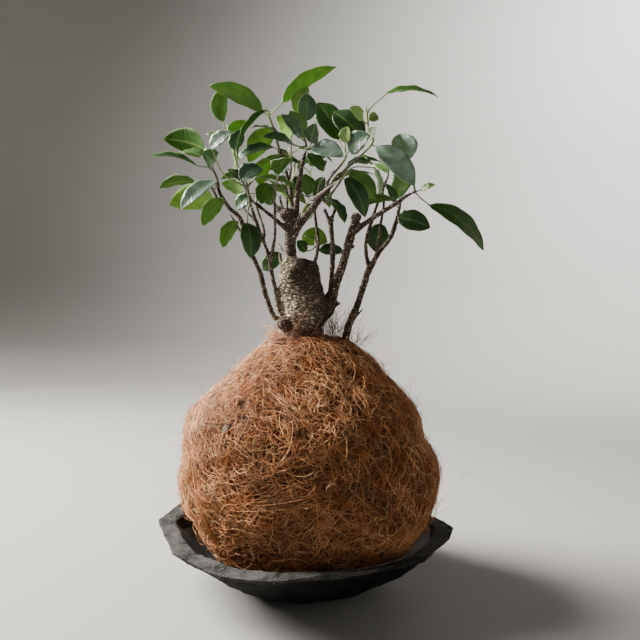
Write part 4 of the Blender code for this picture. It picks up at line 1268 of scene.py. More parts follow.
@dataclass
class Dish:
    """The low carved dish with its wide uneven rim.

    corners are the rim's, as turn in degrees, reach and height. rings are its section, as radius,
    height and how far the ring follows the uneven rim, from the foot out and in.
    """

    corners: tuple[tuple[float, float, float], ...] = (
        (-178, 115, 43), (-144, 112, 42), (-133, 112, 41.5), (-116, 115.5, 41), (-103, 113.5, 42),
        (-92, 105.5, 42), (-76, 102.5, 43), (-57, 102.5, 43), (-39, 107.5, 42), (-14, 110.3, 42),
        (-2, 115.0, 42.5), (12, 105, 43), (50, 110, 44), (78, 108, 45), (105, 110, 44),
        (132, 108, 45),
        (157, 112, 44))
    reach: float = 110.0
    rim_top: float = 42.6
    floor_top: float = 12.0
    rings: tuple[tuple[float, float, float], ...] = (
        (45.0, 0.0, 0.0), (62, 7.0, 0.2), (85, 22.3, 0.65), (103, 35.6, 1.0), (109.3, 40.3, 1.0),
        (110.0, 42.6, 1.0), (97, 42.0, 0.5), (92, 36.0, 0.4), (79, 25.5, 0.2), (53.0, 12.0, 0.0))
    chisel_depth: float = 1.1
    chisel_lift: float = 0.8
    split: int = 3
    edge: float = 0.6
    edge_angle: float = 14.0
    smooth_angle: float = 42.0
    scoop_size: float = 13.0
    scoop_depth: float = 0.9
    grain_size: float = 3.2
    grain_depth: float = 0.25
    rim_chips: float = 1.6
    rim_out: tuple[float, float] = (93.0, 97.0)
    rim_up: tuple[float, float] = (37.5, 40.5)
    bowl_up: tuple[float, float] = (9.0, 12.0)
    bowl_out: tuple[float, float] = (99.0, 103.0)
    # painted reflection: the x span over which the bowl's inner wall turns pale
    painted_reflection_side: tuple[float, float] = (20.0, 55.0)
    finish: CharredWood = field(default_factory=CharredWood)

    def outline(self) -> list[Vector]:
        """Lays out the rim.

        Returns:
            The corners and the middles between them: x and y as shares of the reach, and height.
        """
        corners = []
        for turn, reach, height in self.corners:
            corners.append((math.radians(turn), reach / self.reach, height))
        outline = []
        for (turn, reach, height), after in zip(corners, corners[1:] + corners[:1]):
            next_turn = after[0] if after[0] > turn else after[0] + math.tau
            here = Vector((reach * math.cos(turn), reach * math.sin(turn), height))
            there = Vector((after[1] * math.cos(next_turn), after[1] * math.sin(next_turn),
                            after[2]))
            outline += [here, here.lerp(there, 0.5)]
        return outline

    def carved_places(self) -> Rows:
        """Draws the rings' points out to the rim, each a little off as a chisel leaves it.

        Returns:
            The points, ring after ring.
        """
        draw = random.Random(SEED)
        places = []
        for radius, height, follows_rim in self.rings:
            flat = height in (0.0, self.floor_top)
            for place in self.outline():
                turn = math.atan2(place.y, place.x)
                out = radius * (1 + follows_rim * (math.hypot(place.x, place.y) - 1))
                lift = 0.0
                if not flat:
                    out += draw.uniform(-1, 1) * self.chisel_depth
                    lift = follows_rim * (place.z - self.rim_top)
                    lift += draw.uniform(-1, 1) * self.chisel_lift
                places.append((out * math.cos(turn), out * math.sin(turn), height + lift))
        return np.array(places)

    def build(self) -> Thing:
        """Draws up the rings, carves them and dresses the dish.

        Returns:
            The dish.
        """
        rings = [(height, 0.0, radius) for radius, height, _ in self.rings]
        dish = draw_up("carved_dish", rings, len(self.outline()))
        put_places(dish, self.carved_places())
        self.round_off(dish)
        self.chisel(dish)
        dress_in(dish, self.finish.material())
        smooth_by_angle(dish, self.smooth_angle)
        return dish

    def round_off(self, dish: Thing) -> None:
        """Splits the walls finely and rounds their edges a little."""
        finish_modifier(dish, "SUBSURF", subdivision_type="SIMPLE", levels=self.split)
        finish_modifier(dish, "BEVEL", width=self.edge * MM, segments=1, limit_method="ANGLE",
                        angle_limit=math.radians(self.edge_angle))

    def chisel(self, dish: Thing) -> None:
        """Cuts shallow scoops, chips the rim, and marks rim and bowl for the finish, and the bowl's
        right side for a painted reflection.

        Args:
            dish: the dish.
        """
        places, normals = places_of(dish), normals_of(dish)
        out = np.hypot(places[:, 0], places[:, 1])
        scoops = cloud(places * np.array((1.0, 1.0, 1.6)), self.scoop_size)
        grain = cloud(places, self.grain_size, 5.0)
        on_rim = swell(out, *self.rim_out) * swell(places[:, 2], *self.rim_up)
        clear_of_foot = swell(places[:, 2], 0.8, 4.0)
        chips = self.grain_depth * grain * (1 + self.rim_chips * on_rim)
        carve = clear_of_foot * (-self.scoop_depth * np.abs(scoops) + chips)
        places = places + normals * carve[:, None]
        places[:, 2] = places[:, 2].clip(0.0)
        put_places(dish, places)
        facing_up = swell(normals[:, 2], -0.05, 0.25)
        inner = facing_up * swell(places[:, 2], *self.bowl_up) * (1 - swell(out, *self.bowl_out))
        set_attribute(dish, "rim", on_rim)
        set_attribute(dish, "inner", inner)
        # painted reflection: the bowl's right side, marked for pale grey
        set_attribute(dish, "pale", inner * swell(places[:, 0], *self.painted_reflection_side))


@dataclass
class Ball:
    """The coir ball: a felted shell round the soil, and the loose fibres on it.

    outline gives its height and radius from the foot up, and combs the mat's lie at places of the
    front elevation, as x, z and angle from the level.
    """

    centre: Place = (1.6, 0.0, 90.0)
    outline: tuple[tuple[float, float], ...] = (
        (12.3, 50), (20, 64), (30, 73), (42, 84), (57, 92), (71, 95.5), (86, 96.5), (101, 95),
        (114, 91.5),
        (125, 87), (135, 80.5), (145, 72.5), (153, 62.5), (161, 54), (169, 47), (176, 40),
        (182, 32.5),
        (186, 23.5))
    top: float = 187.0
    waves: tuple[Wave, ...] = (
        Wave(1.6, 2, 0.045, 0.0), Wave(1.3, 3, -0.06, 1.0), Wave(1.0, 6, 0.11, 0.0, 1.6, 2, 0.05),
        Wave(0.7, 10, -0.17, 0.0, 2.0, 1, -0.04))
    mounds: tuple[Mound, ...] = (
        Mound(5.5, 124, 18, math.pi, 3), Mound(1.0, 92, 16, 0.0, 3), Mound(-4.2, 114, 12, -0.3, 3),
        Mound(3.0, 98, 26, math.pi, 3), Mound(-6.0, 49, 9, math.pi, 3), Mound(-5.0, 182, 9, 0.0, 2))
    plain_ends: tuple[float, float] = (14.0, 196.0)
    plain_fade: float = 30.0
    table_steps: int = 181
    felt_inset: float = 1.9
    felt_knob: float = 5.0
    smooth_angle: float = 50.0
    thickness: float = 8.0
    trunk_x: float = -7.5
    trunk_radius: float = 16.9
    side_radius: float = 3.3
    lays: tuple[Lay, ...] = (
        # The first, deepest lay has a darker tone: painted shade on the fibres sunk under the
        # others.
        Lay(6600, 5, (8, 20), (2.6, 8.0), 0.0, (-1.7, -0.4), (0.24, 0.38), (0.27, 0.12), 0.0),
        Lay(11400, 5, (8, 21), (2.6, 9.0), 0.05, (-0.7, 1.3), (0.16, 0.27), (0.58, 0.20), 0.25),
        Lay(3500, 7, (18, 50), (6.0, 60.0), 0.45, (-0.7, 1.7), (0.15, 0.26), (0.62, 0.20), 0.5),
        Lay(3600, 5, (6, 17), (2.2, 8.0), 0.0, (0.0, 1.2), (0.13, 0.21), (0.64, 0.18), 1.6),
        Lay(130, 7, (30, 56), (9.0, 26.0), 0.0, (0.8, 2.6), (0.12, 0.18), (0.72, 0.12), 1.2),
    )
    lowest_up: float = -0.80
    sharpest: float = 0.85
    weave: tuple[float, float] = (0.15, 0.75)
    weave_turn: float = 4.6
    looped_share: float = 0.4
    combs: tuple[tuple[float, float, float], ...] = (
        (-80, 60, -1.1), (-66, 140, 0.75), (-30, 172, 0.3), (30, 172, -0.5), (62, 145, -1.0),
        (85, 100, -1.3), (84, 55, 1.2), (40, 80, 0.6), (0, 58, 0.4), (-45, 35, -0.5), (20, 30, 0.9),
        (-10, 112, -0.85), (58, 112, -1.2))
    comb_reach: float = 20.0
    comb_stray: float = 0.38
    sheaves: tuple[Sheaf, ...] = (
        Sheaf((-24, 141), (11, 107), 16, 2.4), Sheaf((-41, 57), (38, 79), 20, 6.0),
        Sheaf((-87, 78), (-57, 14), 16, 4.0), Sheaf((-30, 168), (-62, 132), 12, 4.0),
        Sheaf((26, 160), (48, 128), 12, 4.0), Sheaf((20, 96), (52, 118), 10, 3.0),
        Sheaf((-8, 24), (30, 62), 12, 4.0))
    sheaf_radius: tuple[float, float] = (0.15, 0.24)
    sheaf_tone: tuple[float, float] = (0.60, 0.16)
    sheaf_steps: int = 7
    strays: int = 1300
    stray_length: tuple[float, float] = (3.5, 26.0)
    stray_rise: tuple[float, float] = (0.15, 1.1)
    stray_dip: tuple[float, float] = (-0.30, 0.02)
    stray_floor: float = 45.0
    stray_radius: tuple[float, float] = (0.10, 0.17)
    stray_tone: tuple[float, float] = (0.6, 0.18)
    collar: int = 520
    collar_height: float = 184.5
    collar_spread: tuple[float, float] = (-1.5, 3.5)
    collar_length: tuple[float, float] = (10.0, 30.0)
    collar_radius: tuple[float, float] = (0.14, 0.28)
    # The collar's low tone is partly the wound hairs' own dark colour and partly painted shade at
    # the trunk's foot.
    collar_tone: tuple[float, float] = (0.44, 0.24)
    tufts: tuple[Tuft, ...] = (
        Tuft(Vector((18, 0, 186)), Vector((10, 8, 2)), 130, (12, 36),
             Vector((0.0, 0.0, 1.7)), 0.30),
        Tuft(Vector((36, 0, 181)), Vector((6, 6, 2)), 40, (8, 24), Vector((0.5, 0.0, 1.2)), 0.40),
        Tuft(Vector((-28, -8, 186)), Vector((4, 7, 2)), 64, (6, 16), Vector((0.1, 0.0, 1.2)), 0.95),
        Tuft(Vector((-4, -19, 187)), Vector((14, 2, 2)), 60, (6, 18),
             Vector((0.2, 0.1, 1.2)), 0.42),
        Tuft(Vector((-12, 20, 187)), Vector((10, 4, 2)), 60, (6, 16),
             Vector((0.0, 0.2, 1.0)), 0.50),
    )
    tuft_radius: tuple[float, float] = (0.10, 0.17)
    tuft_sway: float = 0.55
    tuft_curl: float = 0.13
    fine_steps: int = 5
    # painted shade: how much fibres near the trunk's foot are darkened
    painted_neck_shade: float = 0.55
    depth_limits: tuple[float, float] = (-106.5, 103.5)
    floor_limit: float = 14.5
    pit: Place = (-50, -66, 150)
    pit_radius: float = 2.6
    pith: tuple[float, float] = (-63, 113)
    pith_radius: float = 3.1
    hair_radius: float = 0.11
    hair_tone: float = 0.80
    piece_share: int = 195000
    felt: ShadeFelt = field(default_factory=ShadeFelt)
    fibre: CoirFibre = field(default_factory=CoirFibre)
    pith_finish: HuskPith = field(default_factory=HuskPith)

    def reach(self, turn: Rows, height: Rows) -> Rows:
        """Measures the ball with its slow lumps.

        Args:
            turn: turns round its axis, in radians.
            height: heights, in millimetres.

        Returns:
            The radius at each turn and height.
        """
        lumps = 0.0
        for wave in self.waves:
            swirl = wave.swirl * np.sin(wave.swirl_count * turn + wave.swirl_slant * height)
            phase = wave.count * turn + wave.slant * height + wave.start + swirl
            lumps += wave.rise * np.sin(phase)
        for mound in self.mounds:
            level = np.exp(-((height - mound.level) / mound.spread) ** 2)
            lumps += mound.rise * level * np.maximum(0.0, np.cos(turn - mound.side)) ** mound.power
        low, high = self.plain_ends
        fade = np.clip((height - low) / self.plain_fade, 0, 1)
        fade *= np.clip((high - height) / self.plain_fade, 0, 1)
        return np.interp(height, *zip(*self.outline)) + fade * lumps

    def __post_init__(self) -> None:
        """Makes a table of the distance from the centre, by turn and by slope from the top."""
        self.turns = np.linspace(-math.pi, math.pi, self.table_steps)
        self.slopes = np.linspace(0.0, math.pi, self.table_steps)
        heights = np.linspace(self.outline[0][0], self.outline[-1][0], 240)
        rows = []
        for turn in self.turns:
            out = self.reach(np.full_like(heights, turn), heights)
            out = np.concatenate((out, np.linspace(out[-1], 0.0, 12)[1:]))
            lid = np.linspace(heights[-1], self.top, 12)[1:]
            up = np.concatenate((heights, lid)) - self.centre[2]
            slope, far = np.arctan2(out, up), np.hypot(out, up)
            rows.append(np.interp(self.slopes, slope[::-1], far[::-1]))
        self.table = np.array(rows)

    def surface(self, places: Rows, lift: Rows | float = 0.0) -> Rows:
        """Moves places along their spoke onto the ball.

        Args:
            places: the places.
            lift: how far proud of the ball they end, in millimetres.

        Returns:
            The moved places.
        """
        away = self.spokes(places)
        turn = np.arctan2(away[..., 1], away[..., 0])
        slope = np.arccos(np.clip(away[..., 2], -1, 1))
        column = (turn + math.pi) / math.tau * (len(self.turns) - 1)
        row = slope / math.pi * (len(self.slopes) - 1)
        i = np.minimum(column.astype(int), len(self.turns) - 2)
        j = np.minimum(row.astype(int), len(self.slopes) - 2)
        a, b = column - i, row - j
        near = self.table[i, j] * (1 - b) + self.table[i, j + 1] * b
        after = self.table[i + 1, j] * (1 - b) + self.table[i + 1, j + 1] * b
        distance = near * (1 - a) + after * a + lift
        return np.array(self.centre) + away * distance[..., None]

    def build(self) -> list[Thing]:
        """Makes the felt, its fibres, the loose hairs and the knob of pith.

        Returns:
            The pieces.
        """
        pieces = [self.build_felt()]
        material = self.fibre.material()
        draw = np.random.default_rng(SEED)
        for steps, (paths, radii, tones) in self.lay_fibres(draw).items():
            hair = self.master_fibre(steps)
            share = self.piece_share // len(hair.data.polygons)
            for rank in range(0, len(paths), share):
                part = slice(rank, rank + share)
                name = f"coir_fibres_{len(pieces)}"
                piece = self.copy_along(hair, name, paths[part], radii[part])
                dress_in(piece, material)
                set_attribute(piece, "tone", np.repeat(tones[part], len(hair.data.vertices)))
                pieces.append(piece)
            bpy.data.objects.remove(hair)
        pieces.append(self.loose_hairs(material))
        pieces.append(self.pith_knob())
        return pieces

    def build_felt(self) -> Thing:
        """Makes the felted shell, hollow for the soil and with a hole for each of the two stems.

        Returns:
            The shell.
        """
        middle = np.array(self.centre)
        felt = add_ball("coir_felt", 144, 72, 90, (0, 0, 0))
        places = self.surface(places_of(felt) + middle, -self.felt_inset)
        knobs = np.minimum(0.5 * cloud(places, self.felt_knob), 0.6)
        put_places(felt, self.surface(places, knobs - self.felt_inset))
        hollow = add_ball("hollow", 48, 24, 80, (0, 0, 0))
        put_places(hollow, self.surface(places_of(hollow) + middle, -self.thickness))
        cut_away(felt, hollow)
        rings = [(height, self.trunk_x, self.trunk_radius) for height in (100, 215)]
        cut_away(felt, draw_up("foot", rings, 36))
        run = (SIDE_NECK - SIDE_FOOT).normalized()
        ends = [SIDE_FOOT - run, SIDE_NECK + run * 12]
        cut_away(felt, draw_tubes("side_hole", [(ends, [self.side_radius] * 2)], 4))
        dress_in(felt, self.felt.material())
        smooth_by_angle(felt, self.smooth_angle)
        return felt

    def pith_knob(self) -> Thing:
        """Makes the cut end of a husk's pith: a squashed ball with a sunk middle.

        Returns:
            The knob.
        """
        place = self.seen(*self.pith)
        middle = self.surface(place, 1.0)
        knob = add_ball("coir_pith", 24, 12, self.pith_radius, middle)
        places = places_of(knob)
        spoke = self.spokes(place)
        away = places - middle
        height = away @ spoke
        spread = np.linalg.norm(away - np.outer(height, spoke), axis=1)
        sink = 0.4 * np.cos(math.tau * spread / 1.3) - 0.45 * height
        put_places(knob, places + np.outer(sink * (height > -0.5), spoke))
        dress_in(knob, self.pith_finish.material())
        knob.data.shade_smooth()
        return knob

    def master_fibre(self, steps: int) -> Thing:
        """Makes one straight fibre, three-sided and closed, for others to be copied from.

        Args:
            steps: into how many steps it is cut.

        Returns:
            The fibre, one unit long and one in radius.
        """
        deselect()
        bpy.ops.mesh.primitive_cylinder_add(
            vertices=3, radius=1.0, depth=1.0, end_fill_type="TRIFAN", location=(0, 0, 0.5))
        hair = settle(bpy.context.object)
        bpy.ops.object.mode_set(mode="EDIT")
        for step in range(1, steps - 2):
            bpy.ops.mesh.select_all(action="SELECT")
            bpy.ops.mesh.bisect(plane_co=(0, 0, step / (steps - 2)), plane_no=(0, 0, 1))
        bpy.ops.object.mode_set(mode="OBJECT")
        finish_modifier(hair, "TRIANGULATE")
        return hair

    def copy_along(self, hair: Thing, name: str, paths: Rows, radii: Rows) -> Thing:
        """Copies the master fibre along paths, all in one mesh.

        Args:
            hair: the master fibre.
            name: the new piece's name.
            paths: middle lines, as fibres by points by axes.
            radii: each fibre's radius.

        Returns:
            The new piece.
        """
        shape = places_of(hair) * MM
        steps = paths.shape[1] - 1
        faces = np.array([face.vertices[:] for face in hair.data.polygons])
        poles = (np.abs(shape[:, 0]) + np.abs(shape[:, 1])) < 1e-6
        level = np.where(poles, np.where(shape[:, 2] > 0.5, steps, 0),
                         np.rint(shape[:, 2] * (steps - 2)) + 1).astype(int)
        ahead = unit(np.gradient(paths, axis=1))
        across = unit(np.cross(ahead, paths - np.array(self.centre)))
        up = np.cross(across, ahead)
        width = radii[:, None, None] * (1.05 - 0.5 * np.abs(shape[None, :, 2:3] - 0.5))
        spread = across[:, level] * shape[None, :, 0:1] + up[:, level] * shape[None, :, 1:2]
        places = paths[:, level] + width * spread
        starts = np.arange(len(paths))[:, None, None] * len(shape)
        corners = (faces[None, :, :] + starts).reshape(-1, 3)
        mesh = bpy.data.meshes.new(name)
        mesh.vertices.add(len(paths) * len(shape))
        mesh.loops.add(corners.size)
        mesh.loops.foreach_set("vertex_index", corners.astype(np.int32).ravel())
        mesh.polygons.add(len(corners))
        mesh.polygons.foreach_set("loop_start", np.arange(0, corners.size, 3, dtype=np.int32))
        mesh.polygons.foreach_set("use_smooth", np.ones(len(corners), bool))
        mesh.update(calc_edges=True)
        thing = bpy.data.objects.new(name, mesh)
        bpy.context.scene.collection.objects.link(thing)
        put_places(thing, places)
        return thing

    def lay_fibres(self, draw: np.random.Generator) -> dict[int, tuple[Rows, ...]]:
        """Lays all the fibres of the ball.

        Args:
            draw: the source of chance.

        Returns:
            For each number of steps, paths as fibres by points by axes, then radii, then tones.
        """
        laid = [(self.walk(draw, lay), lay.radius, lay.tone) for lay in self.lays]
        for sheaf in self.sheaves:
            laid.append((self.sheaf_paths(draw, sheaf), self.sheaf_radius, self.sheaf_tone))
        laid.append((self.stray_paths(draw), self.stray_radius, self.stray_tone))
        laid.append((self.collar_paths(draw), self.collar_radius, self.collar_tone))
        for tuft in self.tufts:
            laid.append((self.tuft_paths(draw, tuft), self.tuft_radius, (tuft.tone, 0.1)))
        groups = {}
        for steps in sorted({paths.shape[1] - 1 for paths, _, _ in laid}):
            group = [lay for lay in laid if lay[0].shape[1] == steps + 1]
            paths = np.concatenate([lay[0] for lay in group])
            radii = np.concatenate([draw.uniform(*lay[1], len(lay[0])) for lay in group])
            tones = np.concatenate([draw.normal(*lay[2], len(lay[0])) for lay in group])
            # painted shade: fibres round the trunk's foot darkened, except on the lit left
            tones = tones * (1 - self.painted_neck_shade * self.near_shaded_neck(paths.mean(axis=1)))
            order = draw.permutation(len(paths))
            groups[steps] = (paths[order], radii[order], np.clip(tones[order], 0.02, 1.0))
        return groups

    def near_shaded_neck(self, places: Rows) -> Rows:
        """Measures how near places lie to the trunk's foot, apart from its lit left side, for
        painted shade there.

        Args:
            places: the places.

        Returns:
            A share for each, from 0 to 1.
        """
        out = np.hypot(places[:, 0] - self.trunk_x, places[:, 1])
        near = (1 - swell(out, 21.0, 36.0)) * swell(places[:, 2], 172.0, 182.0)
        return near * swell(places[:, 0], -34.0, -18.0)

    def scatter(self, draw: np.random.Generator, count: int) -> Rows:
        """Spreads places evenly over the ball, above the dish's floor.

        Args:
            draw: the source of chance.
            count: how many places.

        Returns:
            The places.
        """
        up = draw.uniform(self.lowest_up, 1.0, count)
        turn = draw.uniform(-math.pi, math.pi, count)
        out = np.sqrt(1 - up * up)
        away = np.stack((out * np.cos(turn), out * np.sin(turn), up), axis=1)
        return self.surface(np.array(self.centre) + away)

    def spokes(self, places: Rows) -> Rows:
        """The direction of each place from the ball's middle."""
        return unit(places - np.array(self.centre))

    def lie(self, places: Rows) -> Rows:
        """Finds how the mat is combed.

        Args:
            places: the places.

        Returns:
            The fibres' angle from the level at each place.
        """
        x, z, angle = np.array(self.combs).T
        far = (places[:, 0:1] - x) ** 2 + (places[:, 2:3] - z) ** 2
        weight = np.exp(-far / (2 * self.comb_reach ** 2)) + NEAR_ZERO
        return 0.5 * np.arctan2((weight * np.sin(2 * angle)).sum(axis=1),
                                (weight * np.cos(2 * angle)).sum(axis=1))

    def walk(self, draw: np.random.Generator, lay: Lay) -> Rows:
        """Walks the fibres of one lay over the ball, each with its own bend and weave.

        Args:
            draw: the source of chance.
            lay: the kind of fibre.

        Returns:
            Paths as fibres by points by axes, without those that meet a stem.
        """
        count, rows = lay.count, lay.steps + 1
        here = self.scatter(draw, count)
        spoke = self.spokes(here)
        east = unit(np.cross((0, 0, 1.0), spoke))
        north = np.cross(spoke, east)
        combed = draw.random(count) < lay.combed
        grain = self.lie(here) + draw.normal(0, self.comb_stray, count)
        heading = np.where(combed, grain, draw.uniform(-math.pi, math.pi, count))
        ahead = east * np.cos(heading)[:, None] + north * np.sin(heading)[:, None]
        size = draw.uniform(*lay.length, count) / lay.steps
        radius = lay.bend[0] * (lay.bend[1] / lay.bend[0]) ** draw.random(count)
        turn = np.minimum(size / radius, self.sharpest) * np.where(draw.random(count) < 0.5, -1, 1)
        sway = draw.normal(0, 0.12, (rows, count)) + turn * draw.uniform(0.4, 1.3, (rows, count))
        middle = draw.uniform(*lay.lift, count)
        weave = draw.uniform(*self.weave, count)
        phase = draw.uniform(0, math.tau, count)
        spring = (lay.spring * draw.gamma(1.4, 1.0, count)).clip(0, 3.2 * lay.spring)
        looped = draw.random(count) < self.looped_share
        path = np.empty((count, rows, 3))
        for step in range(rows):
            share = step / lay.steps
            rise = spring * np.where(looped, math.sin(math.pi * share), share * share)
            wave = weave * np.sin(phase + self.weave_turn * share)
            path[:, step] = self.surface(here, middle + rise + wave)
            spoke = self.spokes(here)
            ahead = unit(ahead - spoke * np.sum(ahead * spoke, axis=1, keepdims=True))
            bend = sway[step][:, None]
            ahead = ahead * np.cos(bend) + np.cross(spoke, ahead) * np.sin(bend)
            here = self.surface(here + ahead * size[:, None])
        return path[self.clear_of_stems(path) & self.within(path) & self.clear_of_pit(path)]

    def seen(self, x: float, z: float) -> Rows:
        """Finds the place on the ball's near side that shows at (x, z) of the front elevation.

        Args:
            x: how far right it shows.
            z: how high it shows.

        Returns:
            The place.
        """
        near, far = self.depth_limits[0], 0.0
        for _ in range(24):
            y = 0.5 * (near + far)
            place = np.array(from_front((x, z, y)))
            outside = self.distance(place) > self.distance(self.surface(place))
            near, far = (y, far) if outside else (near, y)
        return self.surface(place)

    def distance(self, places: Rows) -> Rows:
        """How far each place lies from the ball's middle."""
        return np.linalg.norm(places - np.array(self.centre), axis=-1)

    def sheaf_paths(self, draw: np.random.Generator, sheaf: Sheaf) -> Rows:
        """Lays the strands of one sheaf, each a little askew.

        Args:
            draw: the source of chance.
            sheaf: the sheaf.

        Returns:
            Paths as strands by points by axes.
        """
        count = sheaf.count
        ends = []
        for end in (sheaf.start, sheaf.end):
            ends.append(self.seen(*end) + draw.normal(0, sheaf.spread, (count, 3)))
        share = np.linspace(0.0, 1.0, self.sheaf_steps + 1)[None, :, None]
        share = share + draw.uniform(-0.2, 0.2, (count, 1, 1))
        path = ends[0][:, None] * (1 - share) + ends[1][:, None] * share
        bow = np.sin(math.pi * share) * draw.normal(0, 2.0, (count, 1, 3))
        return self.surface(path + bow, draw.uniform(0.4, 2.2, (count, 1)))

    def clear_of_stems(self, path: Rows) -> Rows:
        """Which paths keep clear of the trunk's foot and the dish's floor."""
        out = np.hypot(path[..., 0] - self.trunk_x, path[..., 1]).min(axis=1)
        return (out > self.trunk_radius + 0.4) & (path[..., 2].min(axis=1) > self.floor_limit)

    def within(self, path: Rows) -> Rows:
        """Which paths reach neither too far to the front nor to the back."""
        front, back = self.depth_limits
        return (path[..., 1].min(axis=1) > front) & (path[..., 1].max(axis=1) < back)

    def clear_of_pit(self, path: Rows) -> Rows:
        """Which paths leave the small dark hole in the mat open."""
        pit = self.surface(np.array([self.pit]))
        return np.linalg.norm(path - pit, axis=2).min(axis=1) > self.pit_radius

    def stray_paths(self, draw: np.random.Generator) -> Rows:
        """Lays loose ends that stand away from the ball, none too far to the front or back.

        Args:
            draw: the source of chance.

        Returns:
            Paths as fibres by points by axes.
        """
        count = self.strays
        here = self.scatter(draw, count)
        spoke = self.spokes(here)
        side = unit(np.cross(spoke, draw.normal(0, 1, (count, 3))))
        size = draw.gamma(2.0, 4.2, count).clip(*self.stray_length) / self.fine_steps
        rise = draw.uniform(*self.stray_rise, count)
        ahead = spoke * np.sin(rise)[:, None] + side * np.cos(rise)[:, None]
        turn = draw.normal(0, 0.18, count)
        dip = draw.uniform(*self.stray_dip, count)
        path = np.empty((count, self.fine_steps + 1, 3))
        for step in range(self.fine_steps + 1):
            path[:, step] = here
            here = here + ahead * size[:, None]
            ahead = unit(ahead + np.cross(spoke, ahead) * turn[:, None] + spoke * dip[:, None])
        path = self.lifted(path, -0.5)
        above = path[..., 2].min(axis=1) > self.stray_floor
        return path[self.clear_of_stems(path) & self.within(path) & above]

    def lifted(self, path: Rows, least: float) -> Rows:
        """Paths whose sunken points are raised to a height over the ball."""
        ground = self.surface(path, least)
        return np.where((self.distance(path) < self.distance(ground))[..., None], ground, path)

    def collar_paths(self, draw: np.random.Generator) -> Rows:
        """Winds fibres round the foot of the trunk, on the ball's top.

        Args:
            draw: the source of chance.

        Returns:
            Paths as fibres by points by axes.
        """
        count = self.collar
        turn = draw.uniform(-math.pi, math.pi, count)
        out = self.trunk_radius + 0.7 + draw.gamma(1.5, 1.8, count)
        height = self.collar_height + draw.uniform(*self.collar_spread, count)
        way = np.where(draw.random(count) < 0.5, -1.0, 1.0)
        size = draw.uniform(*self.collar_length, count) / self.fine_steps
        drift = draw.normal(0.10, 0.25, count)
        climb = draw.normal(0.0, 0.22, count)
        path = np.empty((count, self.fine_steps + 1, 3))
        for step in range(self.fine_steps + 1):
            path[:, step] = np.stack(
                (self.trunk_x + out * np.cos(turn), out * np.sin(turn), height), axis=1)
            turn = turn + way * size / out
            out = np.maximum(out + drift * size * 0.5, self.trunk_radius + 0.6)
            height = height + climb * size * 0.5
        return self.lifted(path, 0.2)

    def tuft_paths(self, draw: np.random.Generator, tuft: Tuft) -> Rows:
        """Stands up the hairs of one tuft, each with its own lean and curl.

        Args:
            draw: the source of chance.
            tuft: the tuft.

        Returns:
            Paths as hairs by points by axes.
        """
        count = tuft.count
        here = np.array(tuft.foot) + np.array(tuft.spread) * draw.uniform(-1, 1, (count, 3))
        ahead = unit(np.array(tuft.lean) + draw.normal(0, self.tuft_sway, (count, 3)))
        size = draw.uniform(*tuft.length, count)[:, None] / self.fine_steps
        curl = draw.normal(0, self.tuft_curl, (count, 3))
        path = np.empty((count, self.fine_steps + 1, 3))
        for step in range(self.fine_steps + 1):
            path[:, step] = here
            here = here + ahead * size
            ahead = unit(ahead + np.cross(curl, ahead))
        return self.lifted(path, -0.8)

    def loose_hairs(self, material: Material) -> Thing:
        """Makes the long single hairs that cross the trunk and hang in the air beside it.

        Args:
            material: the fibres' material.

        Returns:
            The hairs.
        """
        lines = []
        for route in LOOSE_HAIRS:
            path = smooth_path([from_front(place) for place in route], 5)
            lines.append((path, taper(len(path), self.hair_radius, 0.6 * self.hair_radius)))
        hairs = draw_tubes("coir_hairs", lines, 0)
        dress_in(hairs, material)
        hairs.data.shade_smooth()
        set_attribute(hairs, "tone", self.hair_tone)
        return hairs


